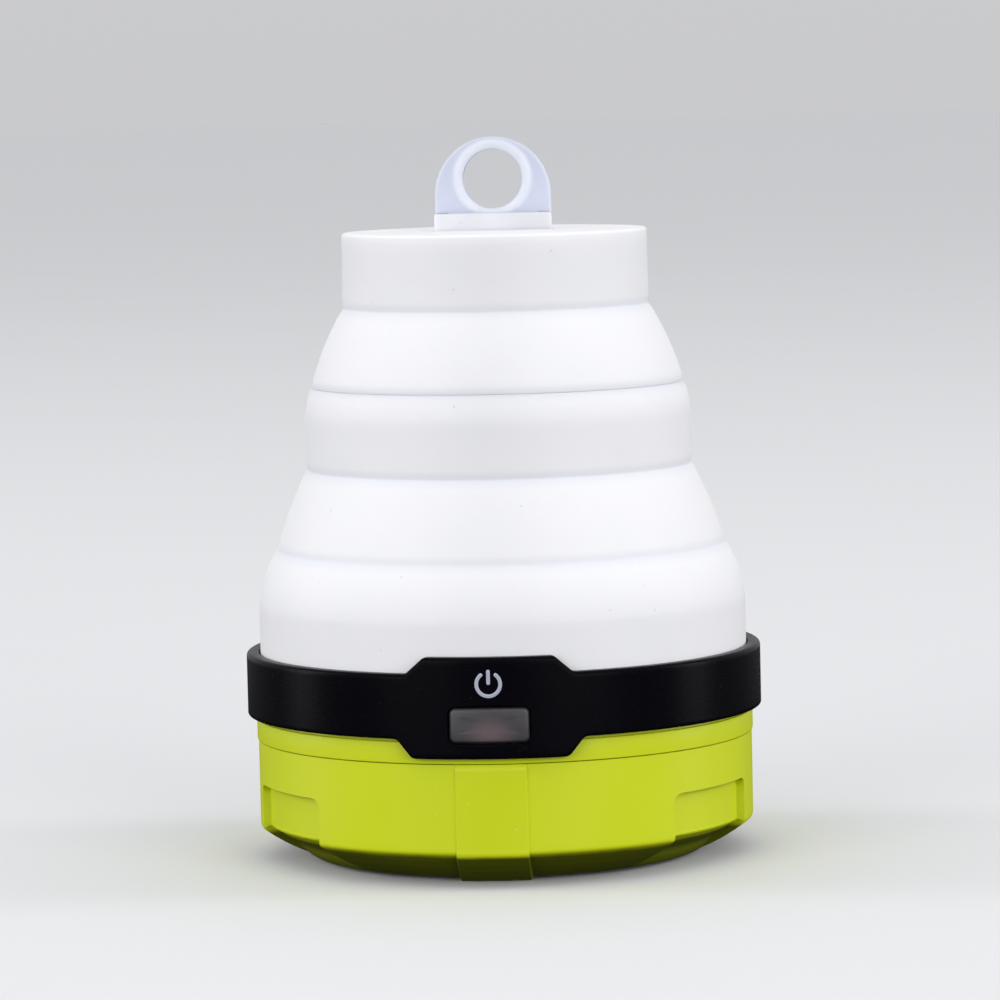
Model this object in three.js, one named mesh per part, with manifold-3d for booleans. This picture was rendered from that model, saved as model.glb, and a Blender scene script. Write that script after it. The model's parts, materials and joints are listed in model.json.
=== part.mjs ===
// A collapsible camping lantern: a green twist-off battery cover and housing, a black control band,
// a white silicone shade whose tiers fold into each other, and a clear folding hang tab on top.
// Millimetres, +Z up, the front of the lantern towards -Y, the feet standing on z = 0.
import * as THREE from "three";
import { mergeVertices } from "three/addons/utils/BufferGeometryUtils.js";
import Module from "manifold-3d";

const wasm = await Module();
wasm.setup();

// ------------------------------------------------------------------ driving dimensions
const CLEARANCE = 0.3; // left between neighbouring pieces
const ROUND_STEPS = 40; // facets round the body
const CELL_STEPS = 24; // facets round a cell and its bay
const SMALL_STEPS = 12; // facets round a post, pin or screw
const WIRE_SIDES = 6; // facets round a wire
const CORNER_STEPS = 3; // facets round a moulded corner
const CURVE_STEPS = 3; // facets along a swollen wall
const REACH = 90; // further out than any piece, for tools that cut or trim
const PAST = 1; // how far a drill runs past the wall that it opens
const ROUND_BULGE = 1 - Math.SQRT1_2; // share of its radius that a quarter round stands past its chord
const THIRDS = [0, 120, 240]; // degrees from the front of features that repeat three times
const BETWEEN_THIRDS = [60, 180, 300];

// Cells, tray and contacts: the base is built outwards and upwards from them.
const CELL_RADIUS = 7.25; // AA size
const CELL_LENGTH = 49.5;
const CELL_NUB_RADIUS = 2.75;
const CELL_NUB = 1.0;
const CELL_COUNT = 3;
const CELL_SPACING = 1.2; // between neighbouring cells
const CELL_LIFT = 1.25; // cells above the cover's floor
const BAY_ROOM = 2.9; // space past each end of a cell for its contact
const TRAY_ROOF = 2.0; // tray above the cells
const TRAY_WALL = 1.1; // tray past the corners of its outer bays
const CONTACT_PLATE = 0.6;
const CONTACT_SIZE = 8.0;
const SPRING_RADIUS = 3.0;
const SPRING_WIRE = 0.35;
const SPRING_TURNS = 2.5;
const SPRING_STEPS = 24;

// Battery cover: the green cup that twists off underneath.
const COVER_WALL = 1.8;
const PARTING_DROP = 1.05; // parting line with the housing below the tray's top
const CHAMFER_WIDTH = 8.8; // chamfer in from the wall to the rim
const CHAMFER_TOP = 6.4;
const CHAMFER_BULGE = 0.35; // how far the chamfer swells past a straight line
const RIM_HEIGHT = 0.5; // rim above the ground
const RIM_WIDTH = 5.0;
const UNDERSIDE_RECESS = 1.0;
const FLOOR_THICKNESS = 2.0;
const LUG_WIDTH = 12.2; // the three locating ribs that end in feet
const LUG_PROUD = 0.45;
const FOOT_LENGTH = 4.5; // foot in from the rim
const POCKET_WIDTH = 20.2; // finger grips, between the ribs
const POCKET_LOW = 2.4;
const POCKET_HIGH = 13.4;
const POCKET_DEPTH = 0.9;
const POCKET_CORNER = 1.6;

// Bayonet between the cover and the housing's skirt.
const HOOK_ANGLE = 18; // degrees that each hook and each catch covers
const HOOK_HEIGHT = 1.6;
const HOOK_DEPTH = 1.3;
const STOP_ANGLE = 2;
const SEAL_GAP = 0.2; // seal cord's clearance to the skirt and to the cover
const SEAL_DROP = 2.3; // seal's centre below the catches

// Housing: the green ring under the band, its skirt inside the cover, and its deck.
const HOUSING_PROUD = 0.2; // housing past the cover
const HOUSING_WALL = 1.8;
const LEDGE_HEIGHT = 3.5; // ring that shows between the cover and the band
const SKIRT_WALL = 1.4;
const SKIRT_REACH = 8.5; // skirt below the parting line
const SHOULDER_SLOPE = 1.0; // height of the slope where the skirt opens out into the housing
const DECK_THICKNESS = 2.0;
const DECK_DROP = 2.0; // deck's top below the band's top edge

// Black band and its control panel.
const BAND_PROUD = 1.5; // band past the housing
const BAND_HEIGHT = 11.1;
const BAND_SEAT_STEP = 0.5; // housing's wall set in under the band
const BAND_LIP = 0.4; // lip at the band's top that closes on the shade
const BAND_EDGE = 0.8; // rounding of the band's upper edge
const PANEL_RISE = 2.7; // panel above the band
const PANEL_DROP = 3.5; // panel below the band
const PANEL_TOP_WIDTH = 21.7;
const PANEL_SHOULDER_WIDTH = 28.0;
const PANEL_HIP_WIDTH = 31.1;
const PANEL_BOTTOM_WIDTH = 25.9;
const PANEL_THICKNESS = 1.2;
const PANEL_CORNER = 1.0;

// Power button in the panel.
const BUTTON_WIDTH = 13.1;
const BUTTON_HEIGHT = 5.2;
const BUTTON_CORNER = 0.9;
const BUTTON_RISE = 2.9; // its centre above the band's lower edge
const BUTTON_SINK = 0.25; // its face below the panel's
const BUTTON_FLANGE = 1.0; // flange past the cap on each side, behind the housing wall
const BUTTON_FLANGE_THICKNESS = 1.1;
const BUTTON_TRAVEL = 0.6;

// Screws and the posts that take them.
const SCREW_HEAD_RADIUS = 1.8;
const SCREW_HEAD = 1.2;
const SCREW_SHANK_RADIUS = 0.85;
const SCREW_LENGTH = 5.0;
const POST_RADIUS = 2.6;
const TRAY_POSTS = [[-16, -1], [16, -1], [0, 1]]; // across, and on which side of the cells
const TRAY_POST_OFFSET = 4.5; // past the outer bays
const BOARD_POSTS = [[-28, 6], [28, 6]];

// Control board, switch and light board.
const BOARD_THICKNESS = 1.6;
const SWITCH_SIZE = [6.0, 3.6, 3.5];
const SWITCH_AXIS = 1.6; // plunger's axis above the switch's foot
const PLUNGER_RADIUS = 1.1;
const PLUNGER_LENGTH = 2.9;
const LIGHT_BOARD_RADIUS = 17.0;
const LED_CIRCLE = 10.0;
const LED_SIZE = [3.5, 3.5, 0.8];
const LED_ANGLES = [45, 135, 225, 315];
const REFLECTOR_THICKNESS = 1.0;
const REFLECTOR_RIM = 1.0;
const LEAD_RADIUS = 0.6;
const LEAD_FOOT = [4.0, 12.0]; // where each lead leaves the control board
const LEAD_RISE = 2.0; // straight stretch above its foot
const LEAD_SPREAD = 1.1;
const LEAD_STEPS = 14;
const LEAD_HOLE_RADIUS = 2.6;
const LEAD_HOLE_Y = 19.6;

// Silicone shade: its creases, tiers and folds, from the band inwards and upwards.
const SHADE_WALL = 1.3;
const CREASES = [
  { inset: 3.3, rise: 16.7 },
  { inset: 8.7, rise: 30.8 },
  { inset: 9.8, rise: 44.2 },
  { inset: 15.5, rise: 58.0 },
];
const SHADE_RISE = 70.9; // shade's top above the band
const SHADE_TOP_ROUND = 1.2;
const SHADE_TOP_THICKNESS = 1.7;
const SHOULDER_LOW = 9.4; // height of the lowest tier's rounded shoulder
const SHOULDER_LOW_BULGE = 0.6;
const SHOULDER_MIDDLE = 4.6;
const SHOULDER_MIDDLE_BULGE = 0.15;
const FOLD_BULGE_LOW = 0.35; // how far each fold swells past a straight cone
const FOLD_BULGE_HIGH = 0.5;
const FLANGE_THICKNESS = 1.4;
const FLANGE_WIDTH = 6.4;
const CLAMP_THICKNESS = 1.6;
const CLAMP_LIP = 2.2; // clamp ring inside the flange
const CLAMP_SCREW_INSET = 2.0; // screws outside the flange's inner edge

// Hang tab and the boss that carries it.
const BOSS_WIDTH = 20.0;
const BOSS_WALL = 1.3;
const BOSS_HEIGHT = 2.6;
const EAR_WIDTH = 1.8;
const EAR_REACH = 1.1; // how far the ears run behind the pin
const TAB_WIDTH = 19.8;
const TAB_ARCH_RISE = 6.6; // centre of its round top above the shade
const TAB_EYE_RISE = 9.4;
const TAB_EYE_RADIUS = 5.0;
const TAB_RIM_WIDTH = 1.5;
const TAB_THICKNESS = 2.0;
const TAB_RIM_THICKNESS = 2.8;
const PIN_RADIUS = 0.5;

// ------------------------------------------------------------------ sizes that follow from them
const bayRadius = CELL_RADIUS + CLEARANCE;
const bayHalf = CELL_LENGTH / 2 + BAY_ROOM;
const cellPitch = 2 * CELL_RADIUS + CELL_SPACING;
const cellRows = Array.from({ length: CELL_COUNT }, (_, i) => (i - (CELL_COUNT - 1) / 2) * cellPitch);
const baysEdge = cellRows.at(-1) + bayRadius;
const trayRadius = Math.hypot(bayHalf, baysEdge) + TRAY_WALL;
const trayPosts = TRAY_POSTS.map(([x, side]) => [x, side * (baysEdge + TRAY_POST_OFFSET)]);

const skirtInside = trayRadius + CLEARANCE;
const skirtRadius = skirtInside + SKIRT_WALL;
const coverInside = skirtRadius + CLEARANCE + HOOK_DEPTH;
const coverRadius = coverInside + COVER_WALL;
const rimRadius = coverRadius - CHAMFER_WIDTH;
const coverFloor = RIM_HEIGHT + UNDERSIDE_RECESS + FLOOR_THICKNESS;
const cellZ = coverFloor + CELL_LIFT + CELL_RADIUS;
const trayTop = cellZ + bayRadius + TRAY_ROOF;
const coverTop = trayTop - PARTING_DROP;
const hookTop = coverTop - CLEARANCE;
const hookLow = hookTop - HOOK_HEIGHT;
const catchTop = hookLow - CLEARANCE;
const catchLow = catchTop - HOOK_HEIGHT;
const catchRadius = coverInside - CLEARANCE;

const housingRadius = coverRadius + HOUSING_PROUD;
const housingLow = coverTop + CLEARANCE;
const ledgeTop = housingLow + LEDGE_HEIGHT;
const bandLow = ledgeTop + CLEARANCE;
const bandHigh = bandLow + BAND_HEIGHT;
const bandRadius = housingRadius + BAND_PROUD;
const bandSeat = housingRadius - BAND_SEAT_STEP;
const bandInside = bandSeat + CLEARANCE;
const lipRadius = bandInside - BAND_LIP;
const panelLow = bandLow - PANEL_DROP;
const panelHigh = bandHigh + PANEL_RISE;
const deckTop = bandHigh - DECK_DROP;
const deckLow = deckTop - DECK_THICKNESS;
const housingInside = bandSeat - HOUSING_WALL;
const buttonZ = bandLow + BUTTON_RISE;
const shoulderHigh = buttonZ - BUTTON_HEIGHT / 2 - BUTTON_FLANGE - 2 * CLEARANCE; // housing opens out here

const boardTop = buttonZ - SWITCH_AXIS - CLEARANCE;
const boardLow = boardTop - BOARD_THICKNESS;
const flangeLow = deckTop + CLEARANCE;
const flangeHigh = flangeLow + FLANGE_THICKNESS;
const shadeRadius = lipRadius - CLEARANCE;
const shadeInside = shadeRadius - SHADE_WALL;
const flangeInside = shadeRadius - FLANGE_WIDTH;
const clampLow = flangeHigh + CLEARANCE;
const clampTop = clampLow + CLAMP_THICKNESS;
const clampInside = flangeInside - CLAMP_LIP;
const clampRadius = shadeInside - CLEARANCE;
const clampScrewRadius = flangeInside + CLAMP_SCREW_INSET;
const lightBoardTop = deckTop + CLEARANCE + BOARD_THICKNESS;
const ledLow = lightBoardTop + CLEARANCE;
const reflectorTop = ledLow + REFLECTOR_THICKNESS;

const creases = CREASES.map(({ inset, rise }) => ({ radius: shadeRadius - inset, height: bandHigh + rise }));
const shadeTop = bandHigh + SHADE_RISE;
const pinZ = shadeTop + TAB_RIM_THICKNESS / 2 + CLEARANCE;
const bossTop = shadeTop + BOSS_HEIGHT;
const tabSkirtLow = Math.max(pinZ + EAR_REACH, bossTop) + CLEARANCE; // where the tab widens above its ears
const tabArchZ = shadeTop + TAB_ARCH_RISE;
const tabEyeZ = shadeTop + TAB_EYE_RISE;
const tabRimRadius = TAB_EYE_RADIUS + TAB_RIM_WIDTH;
const earInside = BOSS_WIDTH / 2 - EAR_WIDTH;

// ------------------------------------------------------------------ materials
const finish = (color, roughness, metalness = 0) =>
  new THREE.MeshStandardMaterial({ color, roughness, metalness });
const greenShell = () => finish(0xc4d22a, 0.45);
const blackGloss = () => finish(0x0a090c, 0.22);
const greyButton = () => finish(0x4a4549, 0.4);
const silicone = () => finish(0xefeff3, 0.6);
const clearTab = () => finish(0xe2e8f2, 0.35);
const steel = () => finish(0xb8bcc2, 0.35, 1);
const circuit = () => finish(0x1f5b3a, 0.5);
const darkPlastic = () => finish(0x232326, 0.55);
const whitePlastic = () => finish(0xf4f4f4, 0.5);
const cellJacket = () => finish(0x2b3e63, 0.4);
const ledYellow = () => finish(0xf2dd7a, 0.35);
const rubber = () => finish(0x151515, 0.8);

// ------------------------------------------------------------------ shapes
const radians = THREE.MathUtils.degToRad;

/** A profile of [radius, height] points, counter-clockwise seen with +Z up, turned about the Z axis. */
function revolve(profile, steps = ROUND_STEPS) {
  const points = profile.map(([radius, height]) => new THREE.Vector2(radius, height));
  return new THREE.LatheGeometry(points, steps).rotateX(Math.PI / 2);
}

/** A ring of rectangular section. */
function ring(inside, outside, low, high) {
  return revolve([[inside, low], [outside, low], [outside, high], [inside, high], [inside, low]]);
}

/** A round plate centred on the axis. */
function plate(radius, low, high) {
  return revolve([[0, low], [radius, low], [radius, high], [0, high]]);
}

/** An upright cylinder at a point. */
function post(x, y, radius, low, high) {
  return new THREE.CylinderGeometry(radius, radius, high - low, SMALL_STEPS)
    .rotateX(Math.PI / 2).translate(x, y, (low + high) / 2);
}

/** A cylinder along X, centred on x = 0. */
function crossBar(radius, length, y, z, steps = SMALL_STEPS) {
  return new THREE.CylinderGeometry(radius, radius, length, steps)
    .rotateZ(Math.PI / 2).translate(0, y, z);
}

/** A box from its centre and sizes. */
function block([width, depth, height], x, y, z) {
  return new THREE.BoxGeometry(width, depth, height).translate(x, y, z);
}

/** An outline drawn in X and Z, carried outwards between two radii, at an angle from the front. */
function outwardPrism(outline, near, far, degrees = 0) {
  const settings = { depth: far - near, bevelEnabled: false, curveSegments: CORNER_STEPS };
  return new THREE.ExtrudeGeometry(outline, settings)
    .rotateX(Math.PI / 2).translate(0, -near, 0).rotateZ(radians(degrees));
}

/** A closed outline through corner points, each corner rounded. */
function roundedOutline(corners, rounding) {
  const outline = new THREE.Shape();
  const points = corners.map(([x, z]) => new THREE.Vector2(x, z));
  points.forEach((corner, i) => {
    const before = points.at(i - 1);
    const after = points[(i + 1) % points.length];
    const start = corner.clone().add(before.clone().sub(corner).setLength(rounding));
    const end = corner.clone().add(after.clone().sub(corner).setLength(rounding));
    if (i === 0) outline.moveTo(start.x, start.y);
    else outline.lineTo(start.x, start.y);
    outline.quadraticCurveTo(corner.x, corner.y, end.x, end.y);
  });
  outline.closePath();
  return outline;
}

/** A rounded rectangle centred on x = 0 and the given height. */
function roundedRectangle(width, height, rounding, z) {
  const [x, h] = [width / 2, height / 2];
  return roundedOutline([[-x, z - h], [x, z - h], [x, z + h], [-x, z + h]], rounding);
}

/** A wedge about the Z axis, for trimming a ring to part of a turn. */
function wedge(centre, width, low, high) {
  const outline = new THREE.Shape().moveTo(0, 0);
  for (const edge of [centre - width / 2, centre + width / 2]) {
    outline.lineTo(REACH * Math.sin(radians(edge)), -REACH * Math.cos(radians(edge)));
  }
  return new THREE.ExtrudeGeometry(outline, { depth: high - low, bevelEnabled: false })
    .translate(0, 0, low);
}

/** A round wire along a curve. */
function wire(curve, radius, steps) {
  const section = new THREE.Shape().absarc(0, 0, radius, 0, 2 * Math.PI);
  const settings = { steps, extrudePath: curve, bevelEnabled: false, curveSegments: WIRE_SIDES / 2 };
  return new THREE.ExtrudeGeometry(section, settings);
}

/** Points of a quadratic curve from start to end that swells by a bulge to its right at its middle. */
function swollenLine([r0, z0], [r1, z1], bulge, steps) {
  const length = Math.hypot(r1 - r0, z1 - z0);
  const normal = [(z1 - z0) / length, -(r1 - r0) / length];
  const control = [(r0 + r1) / 2 + 2 * bulge * normal[0], (z0 + z1) / 2 + 2 * bulge * normal[1]];
  const curve = new THREE.QuadraticBezierCurve(
    new THREE.Vector2(r0, z0), new THREE.Vector2(...control), new THREE.Vector2(r1, z1));
  return curve.getPoints(steps).map((point) => [point.x, point.y]);
}

/** A quarter round between two points, up the outside and over to the left. */
function quarterRound(start, end) {
  const radius = Math.abs(end[0] - start[0]);
  return swollenLine(start, end, radius * ROUND_BULGE, CORNER_STEPS);
}

/** A profile moved sideways. */
const shifted = (profile, across) => profile.map(([r, z]) => [r + across, z]);

/** A point on a circle about the axis, at an angle from the front. */
function onCircle(radius, degrees) {
  const turn = radians(degrees);
  return [radius * Math.sin(turn), -radius * Math.cos(turn)];
}

// ------------------------------------------------------------------ solids
/** A closed geometry as a solid, with shared corners merged and collapsed triangles left out. */
function solid(shape) {
  if (!shape.isBufferGeometry) return shape;
  const bare = shape.clone();
  bare.deleteAttribute("normal");
  bare.deleteAttribute("uv");
  const merged = mergeVertices(bare);
  const corners = merged.index.array;
  const kept = [];
  for (let i = 0; i < corners.length; i += 3) {
    const [a, b, c] = corners.slice(i, i + 3);
    if (a !== b && b !== c && c !== a) kept.push(a, b, c);
  }
  const mesh = new wasm.Mesh({
    numProp: 3,
    vertProperties: merged.attributes.position.array,
    triVerts: new Uint32Array(kept),
  });
  return new wasm.Manifold(mesh);
}

const join = (first, ...rest) => rest.reduce((sum, next) => sum.add(solid(next)), solid(first));
const cut = (first, ...rest) => rest.reduce((left, next) => left.subtract(solid(next)), solid(first));
const common = (first, second) => solid(first).intersect(solid(second));

/** A solid's surface as a geometry. */
function surface(shape) {
  if (shape.isBufferGeometry) return shape;
  const mesh = shape.getMesh();
  const geometry = new THREE.BufferGeometry();
  geometry.setAttribute("position", new THREE.BufferAttribute(mesh.vertProperties, 3));
  geometry.setIndex(new THREE.BufferAttribute(mesh.triVerts, 1));
  geometry.computeVertexNormals();
  return geometry;
}

const lantern = new THREE.Group();
lantern.name = "camping_lantern";

/** Adds one named piece to the lantern. */
function add(name, shape, material) {
  const mesh = new THREE.Mesh(surface(shape), material);
  mesh.name = name;
  lantern.add(mesh);
}

// ------------------------------------------------------------------ battery cover
/** The outside of the cup from the rim up the chamfer to the parting line, moved out by an offset. */
function coverOutside(offset, rimHeight = RIM_HEIGHT) {
  const rise = CHAMFER_TOP - RIM_HEIGHT;
  const length = Math.hypot(CHAMFER_WIDTH, rise);
  const rimShift = (offset * length - CHAMFER_WIDTH * (RIM_HEIGHT - rimHeight)) / rise;
  const cornerDrop = (offset * (length - rise)) / CHAMFER_WIDTH;
  const slope = swollenLine(
    [rimRadius + rimShift, rimHeight],
    [coverRadius + offset, CHAMFER_TOP - cornerDrop],
    CHAMFER_BULGE,
    CURVE_STEPS,
  );
  return [...slope, [coverRadius + offset, coverTop]];
}

function coverCup() {
  const recessTop = RIM_HEIGHT + UNDERSIDE_RECESS;
  return revolve([
    [0, recessTop],
    [rimRadius - RIM_WIDTH - UNDERSIDE_RECESS, recessTop],
    [rimRadius - RIM_WIDTH, RIM_HEIGHT],
    ...coverOutside(0),
    [coverInside, coverTop],
    [coverInside, CHAMFER_TOP + COVER_WALL],
    [rimRadius, coverFloor],
    [0, coverFloor],
  ]);
}

/** One locating rib, from the parting line down round the chamfer to its foot on the floor. */
function coverLug(angle) {
  const sunk = COVER_WALL / 2;
  const footInside = rimRadius - FOOT_LENGTH;
  const rib = revolve([
    [footInside, 0],
    ...coverOutside(LUG_PROUD, 0),
    [coverRadius - sunk, coverTop],
    [coverRadius - sunk, CHAMFER_TOP + sunk],
    [rimRadius, RIM_HEIGHT + sunk],
    [footInside, RIM_HEIGHT + sunk],
    [footInside, 0],
  ]);
  const half = LUG_WIDTH / 2;
  const strip = new THREE.Shape([
    new THREE.Vector2(-half, -PAST), new THREE.Vector2(half, -PAST),
    new THREE.Vector2(half, REACH), new THREE.Vector2(-half, REACH),
  ]);
  return common(rib, outwardPrism(strip, 0, REACH, angle));
}

/** The tool that sinks one finger grip into the wall and the chamfer. */
function pocketTool(angle) {
  const floor = coverOutside(-POCKET_DEPTH).filter(([, z]) => z < coverTop);
  const outside = revolve([
    floor[0],
    [REACH, floor[0][1]],
    [REACH, coverTop],
    [coverRadius - POCKET_DEPTH, coverTop],
    ...[...floor].reverse(),
  ]);
  const height = POCKET_HIGH - POCKET_LOW;
  const mouth = roundedRectangle(POCKET_WIDTH, height, POCKET_CORNER, (POCKET_HIGH + POCKET_LOW) / 2);
  return common(outside, outwardPrism(mouth, 0, REACH, angle));
}

function hook(angle) {
  const blank = ring(skirtRadius + CLEARANCE, coverInside + COVER_WALL / 2, hookLow, hookTop);
  return common(blank, wedge(angle, HOOK_ANGLE, 0, REACH));
}

function buildCover() {
  const cup = join(coverCup(), ...THIRDS.map(coverLug), ...THIRDS.map(hook));
  add("battery_cover", cut(cup, ...BETWEEN_THIRDS.map(pocketTool)), greenShell());
}

// ------------------------------------------------------------------ housing
function housingShell() {
  return revolve([
    [0, deckLow],
    [housingInside, deckLow],
    [housingInside, shoulderHigh],
    [skirtInside, shoulderHigh - SHOULDER_SLOPE],
    [skirtInside, (coverTop - SKIRT_REACH)],
    [skirtRadius, (coverTop - SKIRT_REACH)],
    [skirtRadius, housingLow],
    [housingRadius, housingLow],
    [housingRadius, ledgeTop],
    [bandSeat, ledgeTop],
    [bandSeat, deckTop],
    [0, deckTop],
  ]);
}

/** A catch on the skirt that one hook turns over, with the stop that ends its turn. */
function skirtCatch(angle) {
  const inside = skirtRadius - SKIRT_WALL / 2;
  const shelf = common(ring(inside, catchRadius, catchLow, catchTop), wedge(angle, HOOK_ANGLE, 0, REACH));
  const stopAngle = angle - HOOK_ANGLE / 2 - STOP_ANGLE;
  const stop = common(ring(inside, catchRadius, catchLow, hookTop), wedge(stopAngle, STOP_ANGLE, 0, REACH));
  return [shelf, stop];
}

function buildHousing() {
  const pilot = SCREW_SHANK_RADIUS + CLEARANCE;
  const trayColumns = trayPosts.map(([x, y]) =>
    post(x, y, POST_RADIUS, trayTop + CLEARANCE, deckTop - CLEARANCE));
  const boardColumns = BOARD_POSTS.map(([x, y]) =>
    post(x, y, POST_RADIUS, boardTop + CLEARANCE, deckTop - CLEARANCE));
  const pilots = [
    ...trayPosts.map(([x, y]) => post(x, y, pilot, trayTop, trayTop + SCREW_LENGTH)),
    ...BOARD_POSTS.map(([x, y]) => post(x, y, pilot, boardTop, boardTop + SCREW_LENGTH)),
    ...clampScrewPlaces().map(([x, y]) => post(x, y, pilot, deckLow - PAST, deckTop + PAST)),
  ];
  const buttonHole = roundedRectangle(
    BUTTON_WIDTH + 2 * CLEARANCE, BUTTON_HEIGHT + 2 * CLEARANCE, BUTTON_CORNER + CLEARANCE, buttonZ);
  const shell = join(housingShell(), ...THIRDS.flatMap(skirtCatch), ...trayColumns, ...boardColumns);
  const leadHole = post(0, LEAD_HOLE_Y, LEAD_HOLE_RADIUS, deckLow - PAST, deckTop + PAST);
  const openings = [...pilots, leadHole, outwardPrism(buttonHole, housingInside - HOUSING_WALL, REACH)];
  add("housing", cut(shell, ...openings), greenShell());
}

function clampScrewPlaces() {
  return BETWEEN_THIRDS.map((angle) => onCircle(clampScrewRadius, angle));
}

function buildSeal() {
  const centre = (skirtRadius + coverInside) / 2;
  const radius = (coverInside - skirtRadius) / 2 - SEAL_GAP;
  const height = catchLow - SEAL_DROP;
  const section = Array.from({ length: WIRE_SIDES + 1 }, (_, i) => {
    const turn = (2 * Math.PI * (i % WIRE_SIDES)) / WIRE_SIDES;
    return [centre + radius * Math.cos(turn), height + radius * Math.sin(turn)];
  });
  add("cover_seal", revolve(section), rubber());
}

// ------------------------------------------------------------------ band and button
function panelOutline() {
  const side = (width, z) => [width / 2, z];
  const right = [
    side(PANEL_BOTTOM_WIDTH, panelLow),
    side(PANEL_HIP_WIDTH, bandLow),
    side(PANEL_SHOULDER_WIDTH, bandHigh),
    side(PANEL_TOP_WIDTH, panelHigh),
  ];
  const left = [...right].reverse().map(([x, z]) => [-x, z]);
  return roundedOutline([...right, ...left], PANEL_CORNER);
}

function buildBand() {
  const lipLow = deckTop + CLEARANCE;
  const edge = quarterRound([bandRadius, bandHigh - BAND_EDGE], [bandRadius - BAND_EDGE, bandHigh]);
  const hoop = revolve([
    [bandInside, bandLow],
    [bandRadius - BAND_EDGE / 2, bandLow],
    [bandRadius, bandLow + BAND_EDGE / 2],
    ...edge,
    [lipRadius, bandHigh],
    [lipRadius, lipLow],
    [bandInside, lipLow],
    [bandInside, bandLow],
  ]);
  const panelInside = bandRadius - PANEL_THICKNESS;
  const blank = revolve([
    [panelInside, panelLow],
    [bandRadius, panelLow],
    [bandRadius, panelHigh],
    [lipRadius, panelHigh],
    [lipRadius, lipLow],
    [bandInside, lipLow],
    [bandInside, bandLow],
    [panelInside, bandLow],
    [panelInside, panelLow],
  ]);
  const panel = common(blank, outwardPrism(panelOutline(), 0, REACH));
  const hole = roundedRectangle(
    BUTTON_WIDTH + 2 * CLEARANCE, BUTTON_HEIGHT + 2 * CLEARANCE, BUTTON_CORNER + CLEARANCE, buttonZ);
  add("band", cut(join(hoop, panel), outwardPrism(hole, housingInside, REACH)), blackGloss());
}

function buildButton() {
  const low = buttonZ - BUTTON_HEIGHT;
  const high = buttonZ + BUTTON_HEIGHT;
  const flangeOutside = housingInside - CLEARANCE;
  const flangeInner = flangeOutside - BUTTON_FLANGE_THICKNESS;
  const cap = roundedRectangle(BUTTON_WIDTH, BUTTON_HEIGHT, BUTTON_CORNER, buttonZ);
  const flange = roundedRectangle(
    BUTTON_WIDTH + 2 * BUTTON_FLANGE, BUTTON_HEIGHT + 2 * BUTTON_FLANGE, BUTTON_CORNER, buttonZ);
  const capSolid = common(
    ring(flangeInner + CLEARANCE, bandRadius - BUTTON_SINK, low, high), outwardPrism(cap, 0, REACH));
  const flangeSolid = common(ring(flangeInner, flangeOutside, low, high), outwardPrism(flange, 0, REACH));
  add("power_button", join(capSolid, flangeSolid), greyButton());
  const plungerFar = flangeInner - CLEARANCE;
  const plunger = post(0, 0, PLUNGER_RADIUS, 0, PLUNGER_LENGTH)
    .rotateX(Math.PI / 2).translate(0, PLUNGER_LENGTH - plungerFar, buttonZ);
  add("switch_plunger", plunger, darkPlastic());
  const [width, depth, height] = SWITCH_SIZE;
  const faceY = -(plungerFar - PLUNGER_LENGTH / 2);
  const bore = post(0, 0, PLUNGER_RADIUS + CLEARANCE, 0, PLUNGER_LENGTH / 2 + BUTTON_TRAVEL + CLEARANCE)
    .rotateX(Math.PI / 2)
    .translate(0, faceY + PLUNGER_LENGTH / 2 + BUTTON_TRAVEL + CLEARANCE, buttonZ);
  const body = block([width, depth, height], 0, faceY + depth / 2, boardTop + CLEARANCE + height / 2);
  add("tact_switch", cut(body, bore), darkPlastic());
}

// ------------------------------------------------------------------ cells, tray and contacts
const cellSide = (row) => (row % 2 === 0 ? 1 : -1); // which way a cell's nub points along X

/** A screw whose head's flat top is at a height and whose shank points up, or down. */
function screw(x, y, headTop, up = true, length = SCREW_LENGTH) {
  const profile = [
    [0, 0], [SCREW_HEAD_RADIUS, 0], [SCREW_HEAD_RADIUS, SCREW_HEAD],
    [SCREW_SHANK_RADIUS, SCREW_HEAD], [SCREW_SHANK_RADIUS, SCREW_HEAD + length], [0, SCREW_HEAD + length],
  ];
  const shape = revolve(profile, SMALL_STEPS);
  if (!up) shape.rotateX(Math.PI);
  return shape.translate(x, y, headTop);
}

function buildTray() {
  const bays = cellRows.flatMap((y) => [
    crossBar(bayRadius, 2 * bayHalf, y, cellZ, CELL_STEPS),
    block([2 * bayHalf, 2 * bayRadius, cellZ], 0, y, cellZ / 2),
  ]);
  const seatTop = trayTop - TRAY_ROOF;
  const holes = trayPosts.flatMap(([x, y]) => [
    post(x, y, SCREW_HEAD_RADIUS + CLEARANCE, 0, seatTop),
    post(x, y, SCREW_SHANK_RADIUS + CLEARANCE, 0, trayTop + PAST),
  ]);
  const blank = plate(trayRadius, cellZ, trayTop);
  add("battery_tray", cut(blank, ...bays, ...holes), darkPlastic());
  trayPosts.forEach(([x, y], i) =>
    add(`tray_screw_${i + 1}`, screw(x, y, seatTop - CLEARANCE - SCREW_HEAD), steel()));
}

function buildCells() {
  cellRows.forEach((y, row) => {
    const half = CELL_LENGTH / 2;
    const profile = [
      [0, -half], [CELL_RADIUS, -half], [CELL_RADIUS, half],
      [CELL_NUB_RADIUS, half], [CELL_NUB_RADIUS, half + CELL_NUB], [0, half + CELL_NUB],
    ];
    const cell = revolve(profile, CELL_STEPS)
      .rotateY((cellSide(row) * Math.PI) / 2).translate(0, y, cellZ);
    add(`cell_${row + 1}`, cell, cellJacket());
    buildContacts(y, row);
  });
}

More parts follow.
